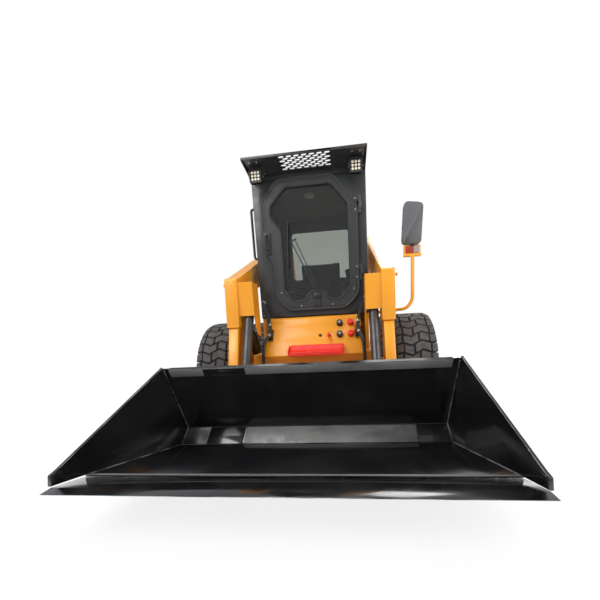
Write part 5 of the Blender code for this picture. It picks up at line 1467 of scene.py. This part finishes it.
def build_panel_fittings():
    """Couplers and caps, step, screws, hose ends and boots."""
    body = BODY["front_panel"]
    way = panel_way()
    mesh = bmesh.new()
    for z in (0.826, 0.738):
        turn_on(mesh, [(-0.004, 0.0262), (0.0025, 0.0262), (0.0035, 0.0245), (0.0035, 0.0225),
                       (0.0300, 0.0225),
                       (0.0325, 0.0210), (0.0325, 0.0165), (0.0304, 0.0155), (0.0304, 0)],
                on_panel(0.212, z), way, 28)
        turn_on(mesh, [(0.0300, 0.0085), (0.0335, 0.0085), (0.0345, 0.0060), (0.0345, 0)],
                on_panel(0.212, z),
                way, 18, mark=1)
    turn_on(mesh, [(-0.002, 0.0135), (0.0020, 0.0135), (0.0035, 0.0115), (0.0035, 0.0090),
                   (-0.002, 0.0090)],
            on_panel(0.055, 0.740), way, 24)
    add("couplers_open", mesh, ("black_plastic", "bare_steel"), body)

    mesh = bmesh.new()
    cap = [(0.001, 0.0240), (0.006, 0.0255), (0.010, 0.0240), (0.030, 0.0235), (0.0365, 0.0205),
           (0.0380, 0.0150), (0.0350, 0.0120), (0.0350, 0)]
    for z in (0.826, 0.738):
        turn_on(mesh, cap, on_panel(0.298, z), way, 28)
    turn_on(mesh, [(along * 0.72, radius * 0.56) for along, radius in cap], on_panel(0.126, 0.737), way,
            24)
    route = [on_panel(0.316, 0.818, 0.012), on_panel(0.336, 0.800, 0.014), on_panel(0.340, 0.775, 0.020),
             on_panel(0.322, 0.758, 0.016), on_panel(0.312, 0.750, 0.014)]
    pipe(mesh, smooth_route(route), 0.0055, 8, flat=0.45)
    route = [on_panel(0.131, 0.729, 0.010), on_panel(0.122, 0.708, 0.016), on_panel(0.138, 0.680, 0.018),
             on_panel(0.152, 0.692, 0.012), on_panel(0.140, 0.716, 0.006)]
    pipe(mesh, smooth_route(route), 0.0038, 8, flat=0.5)
    add("coupler_caps", mesh, "red_paint", body)

    low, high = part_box("step_plate")
    mesh = bmesh.new()
    step_z = 0.628
    root = on_panel(0, step_z).y - AXLE_Y
    for side_x in (low[0] + 0.001, high[0] - 0.007):
        outline = [(root - 0.002, step_z + 0.046), (root - 0.030, step_z + 0.030),
                   (root - 0.072, step_z + 0.016),
                   (root - 0.0845, step_z + 0.012), (root - 0.0845, step_z - 0.033),
                   (root - 0.020, step_z - 0.004)]
        across(mesh, outline, side_x, 0.006)
    for count in range(3):
        share = count / 2
        y = root - 0.0805 - 0.0068 * share - 0.0012
        z = step_z - 0.0110 - 0.0175 * share
        pipe(mesh, [at(low[0] + 0.012, y + 0.0022, z), at(high[0] - 0.012, y + 0.0022, z)], 0.0032, 8)
    add("step_ends", mesh, "red_paint", BODY["step_plate"], width=0.0010)
    teeth = bmesh.new()
    turn_on(teeth, [(-0.001, 0.0048), (0.0030, 0.0040), (0.0030, 0.0026), (-0.0010, 0.0024)], ORIGIN, UP,
            10,
            closed=True)
    places = []
    for column in range(13):
        for row in range(2):
            x = low[0] + 0.036 + column * (high[0] - low[0] - 0.072) / 12
            places.append((at(x, root - 0.036 - row * 0.024, step_z + 0.0040 - row * 0.0027),
                           facing((0, 0, 1))))
    set_out("step_teeth", shape_data("tooth", teeth), places, "red_paint", BODY["step_plate"])
    screws = []
    for side in (-1, 1):
        for x, z in ((0.345, 0.872), (0.10, 0.872)):
            screws.append((at(side * x, -0.1605 + 0.012, 0.8895), facing((0, -0.6, 0.8), x)))
        screws.append((on_panel(side * 0.372, 0.66), facing(way, 0.3)))
    screws += [(on_panel(x, 0.668), facing(way, x)) for x in (-0.16, 0.21)]
    set_out("panel_screws", HEX_SCREW, screws, "yellow_paint", body, scale=0.9)

    for hand, side in SIDES:
        mesh = bmesh.new()
        route = [at(side * 0.430, -0.0803, 1.030), at(side * 0.430, -0.110, 1.030),
                 at(side * 0.385, -0.160, 0.950),
                 at(side * 0.354, -0.205, 0.830), at(side * 0.354, -0.245, 0.765),
                 at(side * 0.390, -0.310, 0.700),
                 at(side * 0.400, -0.335, 0.560), at(side * 0.400, -0.290, 0.400),
                 at(side * 0.400, -0.2203, 0.400)]
        line = smooth_route(route, steps=3)
        for start, reach, radius in ((0, 0.022, 0.019), (-1, -0.024, 0.020)):
            spot = line[start]
            ahead = (line[1] - line[0]) if start == 0 else (line[-1] - line[-2])
            turn_on(mesh, [(0, radius), (reach * 0.5, radius), (reach * 0.6, 0.0165), (reach, 0.0160),
                           (reach * 1.02, 0.0128)], spot, ahead, 6 if start else 20)
        for index in (len(line) // 3, len(line) // 2):
            ahead = (line[index + 1] - line[index - 1]).normalized()
            turn_on(mesh, [(-0.009, 0.0132), (-0.009, 0.0152), (0.009, 0.0152), (0.009, 0.0132)],
                    line[index],
                    ahead, 16)
        add(f"hose_fittings_{hand}", mesh, "bare_steel", BODY[f"hose_{hand}"])
        mesh = bmesh.new()
        inner, outer = sorted((side * 0.332, side * 0.374))
        for low_z, high_z in ((0.7155, 0.7205), (0.7945, 0.7995)):
            upright(mesh, [(0, 0), (outer - inner, 0), (outer - inner, high_z - low_z),
                           (0, high_z - low_z)], on_panel(inner, low_z, 0.004), 0.016)
        route = [on_panel(side * 0.360, 0.790, -0.020), on_panel(side * 0.352, 0.772, 0.014),
                 on_panel(side * 0.350, 0.745, 0.010), on_panel(side * 0.356, 0.728, -0.020)]
        pipe(mesh, smooth_route(route), 0.0165, 14)
        add(f"hose_boot_{hand}", mesh, "hose_rubber", body)


# ---- mirror ---------------------------------------------------------------------------------
def build_mirror():
    """Mirror head with its glass, and the reflector on its bracket."""
    body = BODY["mirror_head"]
    low, high = (Vector(corner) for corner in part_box("mirror_head"))
    mesh = copy_of("mirror_head")
    round_edges(mesh, 0.009, segments=4, angle=50)
    piece = piece_from("mirror_shell", mesh, "grey_plastic")
    settle(piece, body, ("mirror_head",), crease=50)
    foot, top = low.z, high.z
    x = 0.768
    outline = [(x - 0.075, foot + 0.008), (x + 0.062, foot), (x + 0.078, top - 0.020), (x - 0.058, top)]
    mesh = bmesh.new()
    pane = eased(inset(outline, 0.010), 0.028)
    upright(mesh, pane, Vector((0, high.y + 0.0012, 0)), 0.002)
    add("mirror_glass", mesh, "rod_chrome", body)
    mesh = bmesh.new()
    trim(mesh, eased(inset(outline, 0.004), 0.032), high.y - AXLE_Y - 0.001, bead(0.008, -0.0035))
    neck = Vector((x, high.y - 0.024, foot - 0.004))
    turn_on(mesh, [(-0.010, 0.0125), (0.000, 0.0165), (0.010, 0.0165), (0.016, 0.012)], neck, (0, 0, 1),
            18)
    add("mirror_bezel", mesh, "black_plastic", body)
    face = low.y + 0.006 + 0.014
    mesh = bmesh.new()
    for x0, x1, mark in ((x - 0.048, x + 0.010, 0), (x + 0.011, x + 0.052, 1)):
        plate = eased([(x0, 1.3135), (x1, 1.3135), (x1, 1.3600), (x0, 1.3600)], 0.003)
        upright(mesh, plate, Vector((0, face - 0.0002, 0)), 0.006, mark)
    add("bracket_reflector", mesh, ("reflector_red", "reflector_pale"), BODY["mirror_stem"])
    bolts = []
    for y in (-0.042, 0.002):
        for z in (0.857, 0.884):
            bolts.append((at(0.4558 + 0.012, y, z), facing((1, 0, 0), z)))
    set_out("mirror_foot_bolts", HEX_SCREW, bolts, "bare_steel", BODY["mirror_stem"],
            scale=0.8)


# ---- lift arms and cylinders ----------------------------------------------------------------
ARM_X = (0.520, 0.612)              # inner and outer face
KNEE_INNER = 0.400
KNEE_SET_BACK = 0.0075
PIVOT = JOINTS["arm_lift"]["pos_m"]
HINGE = JOINTS["bucket_tilt"]["pos_m"]


def pin_head():
    """A pin's end plate with its keeper and two screws, one unit across its radius."""
    mesh = bmesh.new()
    turn_on(mesh, [(0, 1.0), (0.12, 1.0), (0.17, 0.95), (0.17, 0.62), (0.10, 0.55), (0.10, 0)], ORIGIN,
            UP, 28)
    turn_on(mesh, [(0.10, 0.16), (0.24, 0.16), (0.30, 0.10), (0.36, 0.07), (0.36, 0)], ORIGIN, UP, 10)
    for side in (-1, 1):
        turn_on(mesh, [(0.15, 0.13), (0.27, 0.13), (0.29, 0.10), (0.29, 0)], Vector((side * 0.78, 0, 0)),
                UP, 6)
    return shape_data("pin_head", mesh)


def knee_set_back(node):
    """The arm, the inner face of its knee set back so that the opened door's fittings pass it."""
    mesh = copy_of(node)
    for vert in mesh.verts:
        if abs(vert.co.x) < KNEE_INNER + 0.001:
            vert.co.x = math.copysign(KNEE_INNER + KNEE_SET_BACK, vert.co.x)
    return mesh


def build_arms():
    """Arms, their pins, pegs, bosses and welds."""
    head = pin_head()
    for hand, side in SIDES:
        node = f"lift_arm_{hand}"
        # The rounded edges take a lighter yellow, a painted highlight with flecks of wear.
        dress(node, node + "_skin", "yellow_paint", 0.0016, "worn_yellow", knee_set_back(node))
        body = BODY[node]
        outer = side * ARM_X[1]
        mesh = bmesh.new()
        knob = at(outer, -0.395, 1.150)
        turn_on(mesh, [(0, 0.012), (0.003, 0.012), (0.004, 0.0075), (0.016, 0.0075), (0.017, 0.0125),
                       (0.023, 0.0120), (0.026, 0.009), (0.026, 0)], knob, (side, 0, 0), 18)
        add(f"arm_peg_{hand}", mesh, "yellow_paint", body)
        edge = side * (ARM_X[0] - 0.0008)
        face_y = -0.4392
        routes = [[at(edge, face_y, 0.920), at(edge, face_y, 1.160)],
                  [at(edge, face_y + 0.002, 1.1615), at(edge, -0.297, 1.1615)],
                  [at(side * 0.530, -0.4755, 0.838), at(side * 0.600, -0.4755, 0.838)],
                  [at(side * 0.6003, -0.4735, 0.836), at(side * 0.6003, -0.326, 0.836)]]
        weld(f"arm_welds_{hand}", routes, 0.0034, "yellow_paint", body)
        boss = bmesh.new()
        centre = Vector((0, HINGE[1], HINGE[2]))
        for x, way in ((side * 0.5300, -side), (side * 0.6000, side)):
            turn_on(boss, [(-0.002, 0.041), (0.0035, 0.041), (0.0050, 0.038), (0.0050, 0.024),
                           (-0.002, 0.024)],
                    centre + Vector((x, 0, 0)), (way, 0, 0), 28, closed=True)
        add(f"hinge_boss_{hand}", boss, "yellow_paint", body)
        screws = []
        for y, z in ((0.64, 1.30), (0.94, 1.42)):
            screws.append((at(outer, y, z), facing((side, 0, 0), y)))
        set_out(f"arm_screws_{hand}", HEX_SCREW, screws, "bare_steel", body, scale=1.2)
        places = [(Vector((side * 0.6203, PIVOT[1], PIVOT[2])), facing((side, 0, 0), 0.6), (0.046,) * 3)]
        set_out(f"arm_pin_head_{hand}", head, places, "yellow_paint", BODY["rear_frame"])
        places = [(Vector((side * 0.6420, HINGE[1], HINGE[2])), facing((side, 0, 0), 0.2), (0.027,) * 3)]
        set_out(f"bucket_pin_head_{hand}", head, places, "yellow_paint", BODY["coupler_plate"])
        lift_pin = at(side * 0.6125, 0.950, 0.450)
        set_out(f"lift_pin_head_{hand}", head, [(lift_pin, facing((side, 0, 0), 1.1),
                                                 (0.026, 0.026, 0.020))],
                "bare_steel", BODY[f"chain_case_{hand}"])


def build_cylinders():
    """Gland nuts, rod wipers, base rings and ports on the barrels."""
    for kind, radius, rod, length in (("tilt", 0.036, 0.019, 0.570), ("lift", 0.037, 0.022, 0.870)):
        for hand in ("left", "right"):
            start = Vector(JOINTS[f"{kind}_{hand}_swing"]["pos_m"])
            way = Vector(JOINTS[f"{kind}_{hand}_stroke"]["axis"]).normalized()
            body = BODY[f"{kind}_{hand}_barrel"]
            mesh = bmesh.new()
            inner = rod + 0.0012
            gland = [(length - 0.046, radius - 0.001), (length - 0.046, radius + 0.0030),
                     (length - 0.030, radius + 0.0034),
                     (length - 0.029, radius + 0.0012), (length - 0.024, radius + 0.0012),
                     (length - 0.023, radius + 0.0034), (length + 0.002, radius + 0.0034),
                     (length + 0.004, radius - 0.001),
                     (length + 0.004, rod + 0.007), (length + 0.009, rod + 0.005),
                     (length + 0.009, inner),
                     (length - 0.010, inner)]
            turn_on(mesh, gland, start, way, 28, closed=True)
            add(f"{kind}_{hand}_gland", mesh, "cylinder_paint", body)
            mesh = bmesh.new()
            turn_on(mesh, [(0.046, radius - 0.001), (0.046, radius + 0.0030), (0.056, radius + 0.0030),
                           (0.060, radius - 0.001)], start, way, 28, closed=True)
            back = Vector((0, 1, 0)) if kind == "tilt" else Vector((0, -1, 0))
            back = (back - way * back.dot(way)).normalized()
            for along in (0.090, length - 0.075):
                turn_on(mesh, [(radius - 0.004, 0.0100), (radius + 0.010, 0.0100),
                               (radius + 0.012, 0.0080),
                               (radius + 0.012, 0)], start + way * along, back, 6)
            if kind == "lift":
                line = [start + way * 0.090 + back * (radius + 0.008),
                        start + way * 0.120 + back * (radius + 0.009),
                        start + way * (length - 0.110) + back * (radius + 0.009),
                        start + way * (length - 0.075) + back * (radius + 0.008)]
                pipe(mesh, smooth_route(line), 0.0052, 8)
            add(f"{kind}_{hand}_ports", mesh, "cylinder_paint", body)


# ---- rear and sides -------------------------------------------------------------------------
REAR_DOOR_FACE = 1.791
HOOD_TOP = ((1.040, 1.240), (1.730, 1.222))         # y, z of its front and rear edge
UNDERSIDE = 0.1965


def on_hood(y):
    """Height of the hood's top."""
    (front_y, front_z), (back_y, back_z) = HOOD_TOP
    return front_z - (front_z - back_z) / (back_y - front_y) * (y - front_y)


def build_rear():
    """Rear door, tail lamps, bumper and hood."""
    body = BODY["rear_door"]
    mesh = bmesh.new()
    for count in range(48):
        x = -0.266 + count * 0.0110
        pipe(mesh, [at(x, 1.757, 0.632), at(x, 1.757, 0.978)], 0.0013, 4)
    for count in range(24):
        z = 0.640 + count * 0.0145
        pipe(mesh, [at(-0.272, 1.7585, z), at(0.256, 1.7585, z)], 0.0013, 4)
    add("rear_screen", mesh, "black_plastic", body)
    mesh = bmesh.new()
    for z in (0.64, 0.70, 0.76, 0.82, 0.88, 0.94):
        across(mesh, [(REAR_DOOR_FACE - 0.0005, z + 0.030), (REAR_DOOR_FACE + 0.0040, z + 0.0310),
                      (REAR_DOOR_FACE + 0.0085, z + 0.0180), (REAR_DOOR_FACE + 0.0070, z + 0.0170),
                      (REAR_DOOR_FACE - 0.0005, z + 0.0260)], -0.268, 0.516)
    add("rear_vent_hoods", mesh, "yellow_paint", body)
    mesh = bmesh.new()
    frame_line = eased([(-0.370, 0.440), (0.345, 0.440), (0.345, 0.600), (-0.370, 0.600)], 0.02)
    trim(mesh, frame_line, REAR_DOOR_FACE, bead(0.012, -0.0040))
    add("rear_door_swage", mesh, "yellow_paint", body)
    mesh = bmesh.new()
    grip = [at(-0.345, REAR_DOOR_FACE - 0.001, 0.70), at(-0.345, REAR_DOOR_FACE + 0.006, 0.705),
            at(-0.345, REAR_DOOR_FACE + 0.0075, 0.76),
            at(-0.345, REAR_DOOR_FACE + 0.0075, 0.82), at(-0.345, REAR_DOOR_FACE + 0.006, 0.875),
            at(-0.345, REAR_DOOR_FACE - 0.001, 0.88)]
    pipe(mesh, smooth_route(grip), 0.0065, 10)
    turn_on(mesh, [(0, 0.016), (0.004, 0.016), (0.006, 0.013), (0.006, 0.005), (0.003, 0.004),
                   (0.003, 0)],
            at(-0.345, REAR_DOOR_FACE, 0.645), (0, 1, 0), 20)
    add("rear_door_handle", mesh, "black_plastic", body)

    body = BODY["rear_frame"]
    for hand, side in SIDES:
        mesh = bmesh.new()
        low, high = sorted((side * 0.412, side * 0.494))
        for z0, z1, mark in ((1.000, 1.070, 1), (1.074, 1.112, 2)):
            lens = eased([(low, z0), (high, z0), (high, z1), (low, z1)], 0.010)
            upright(mesh, lens, at(0, 1.7560, 0), 0.0155, mark)
        shell = eased([(low - 0.004, 0.995), (high + 0.004, 0.995), (high + 0.004, 1.117),
                       (low - 0.004, 1.117)], 0.012)
        upright(mesh, shell, at(0, 1.7500, 0), 0.0100, 0)
        add(f"tail_lamp_{hand}", mesh, ("black_plastic", "reflector_red", "reflector_pale"), body,
            width=0.0018)
    bolts = []
    for x in (-0.46, -0.30, 0.30, 0.46):
        for z in (0.270, 0.370):
            bolts.append((at(x, 1.800, z), facing((0, 1, 0), x)))
    for side in (-1, 1):
        for y, z in ((1.15, 0.70), (1.55, 0.70), (1.15, 1.10), (1.55, 1.10)):
            bolts.append((at(side * 0.514, y, z), facing((side, 0, 0), y)))
    set_out("rear_frame_bolts", HEX_SCREW, bolts, "bare_steel", body, scale=1.3)
    mesh = bmesh.new()
    for side in (-1, 1):
        turn_on(mesh, [(0, 0.030), (0.004, 0.030), (0.006, 0.026), (0.006, 0.017), (-0.010, 0.016)],
                at(side * 0.38, 1.7985, 0.320), (0, 1, 0), 24)
    add("tie_down_rings", mesh, "cab_paint", body)

    body = BODY["engine_hood"]
    mesh = bmesh.new()
    for column in (-0.20, 0.0, 0.20):
        for row in range(7):
            y = 1.22 + row * 0.060
            z = on_hood(y)
            outline = [(y - 0.012, z - 0.001), (y + 0.016, z - 0.001), (y + 0.013, z + 0.0075),
                       (y + 0.009, z + 0.0080)]
            across(mesh, outline, column - 0.075, 0.150)
    add("hood_louvres", mesh, "yellow_paint", body, width=0.0012)
    screws = [(at(side * 0.375, y, on_hood(y)), facing((0, 0, 1), y)) for side in (-1, 1)
              for y in (1.12, 1.36, 1.60)]
    set_out("hood_screws", HEX_SCREW, screws, "bare_steel", body)


def build_sides():
    """Chain-case covers and bolts, belly covers and the engine."""
    cover = bmesh.new()
    turn_on(cover, [(-0.001, 0.066), (0.004, 0.066), (0.006, 0.062), (0.006, 0.030), (0.012, 0.024),
                    (0.012, 0)],
            ORIGIN, UP, 36)
    shape = shape_data("case_cover", cover)
    for hand, side in SIDES:
        body = BODY[f"chain_case_{hand}"]
        places = [(at(side * 0.515, 0.575, 0.420), facing((side, 0, 0)))]
        set_out(f"case_cover_{hand}", shape, places, "yellow_paint", body)
        bolts = []
        for count in range(6):
            angle = math.pi * count / 3
            bolts.append((at(side * 0.5205, 0.575 + 0.054 * math.cos(angle),
                             0.420 + 0.054 * math.sin(angle)),
                          facing((side, 0, 0), angle)))
        for axle in (0.0, 1.150):
            for count in range(8):
                angle = 2 * math.pi * (count + 0.5) / 8
                bolts.append((at(side * 0.5150, axle + 0.096 * math.cos(angle),
                                 TYRE_RADIUS + 0.096 * math.sin(angle)), facing((side, 0, 0), angle)))
        set_out(f"case_bolts_{hand}", HEX_SCREW, bolts, "bare_steel", body)
    mesh = bmesh.new()
    covers = ((-0.10, 0.26), (0.60, 1.00), (1.12, 1.50))
    for y0, y1 in covers:
        block(mesh, (-0.24, y0, UNDERSIDE), (0.24, y1, 0.2005))
    add("belly_covers", mesh, "yellow_paint", BODY["lower_frame"], width=0.0012)
    bolts = []
    for y0, y1 in covers:
        for x in (-0.215, 0.215):
            for y in (y0 + 0.03, (y0 + y1) / 2, y1 - 0.03):
                bolts.append((at(x, y, UNDERSIDE + 0.0001), facing((0, 0, -1), y)))
    set_out("belly_bolts", HEX_SCREW, bolts, "bare_steel", BODY["lower_frame"])
    mesh = bmesh.new()
    low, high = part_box("engine_block")
    for row in range(9):
        z = 0.30 + row * 0.075
        block(mesh, (-0.284, low[1] - AXLE_Y - 0.003, z), (0.284, high[1] - AXLE_Y + 0.003, z + 0.020))
    block(mesh, (-0.20, 1.10, 1.0195), (0.20, 1.54, 1.075))
    for count in range(4):
        turn_on(mesh, [(0, 0.030), (0.030, 0.030), (0.036, 0.022), (0.036, 0)],
                at(-0.12 + count * 0.08, 1.32, 1.075),
                (0, 0, 1), 16)
    add("engine_fins", mesh, "engine_iron", BODY["engine_block"], width=0.003)


# ---- plain dressing of the nodes that keep their shape --------------------------------------
def dress_nodes():
    """Every carried-over node takes the finish of its slot in the record."""
    for node, slot in SLOT.items():
        data = frame["nodes"][node].data
        data.materials.clear()
        data.materials.append(look(slot))
        for face in data.polygons:
            face.material_index = 0


def dress_frames():
    """Nodes that keep their shape, with rounded edges."""
    for node, width in (("front_panel", 0.002), ("rear_frame", 0.003), ("engine_hood", 0.004),
                        ("rear_door", 0.003), ("chain_case_left", 0.003), ("chain_case_right", 0.003),
                        ("lower_frame", 0.002), ("coupler_plate", 0.002), ("cab_front", 0.003),
                        ("cab_side_left", 0.003),
                        ("cab_side_right", 0.003), ("cab_rear", 0.003), ("seat_base", 0.004),
                        ("bucket", 0.0022), ("step_plate", 0.0012),
                        ("mirror_stem", 0.0012)):
        # Rounded edges: a lighter yellow as painted highlight with wear flecks on yellow nodes, black rubbed to
        # grey on the bucket.
        edge = {"yellow_paint": "worn_yellow", "bucket_paint": "worn_paint"}.get(SLOT[node])
        dress(node, node + "_skin", SLOT[node], width, edge)


set_stage()
dress_nodes()
dress_frames()
build_wheels()
build_bucket()
build_roof()
build_lamps()
build_door()
build_windows()
build_interior()
build_panel_fittings()
build_mirror()
build_arms()
build_cylinders()
build_rear()
build_sides()
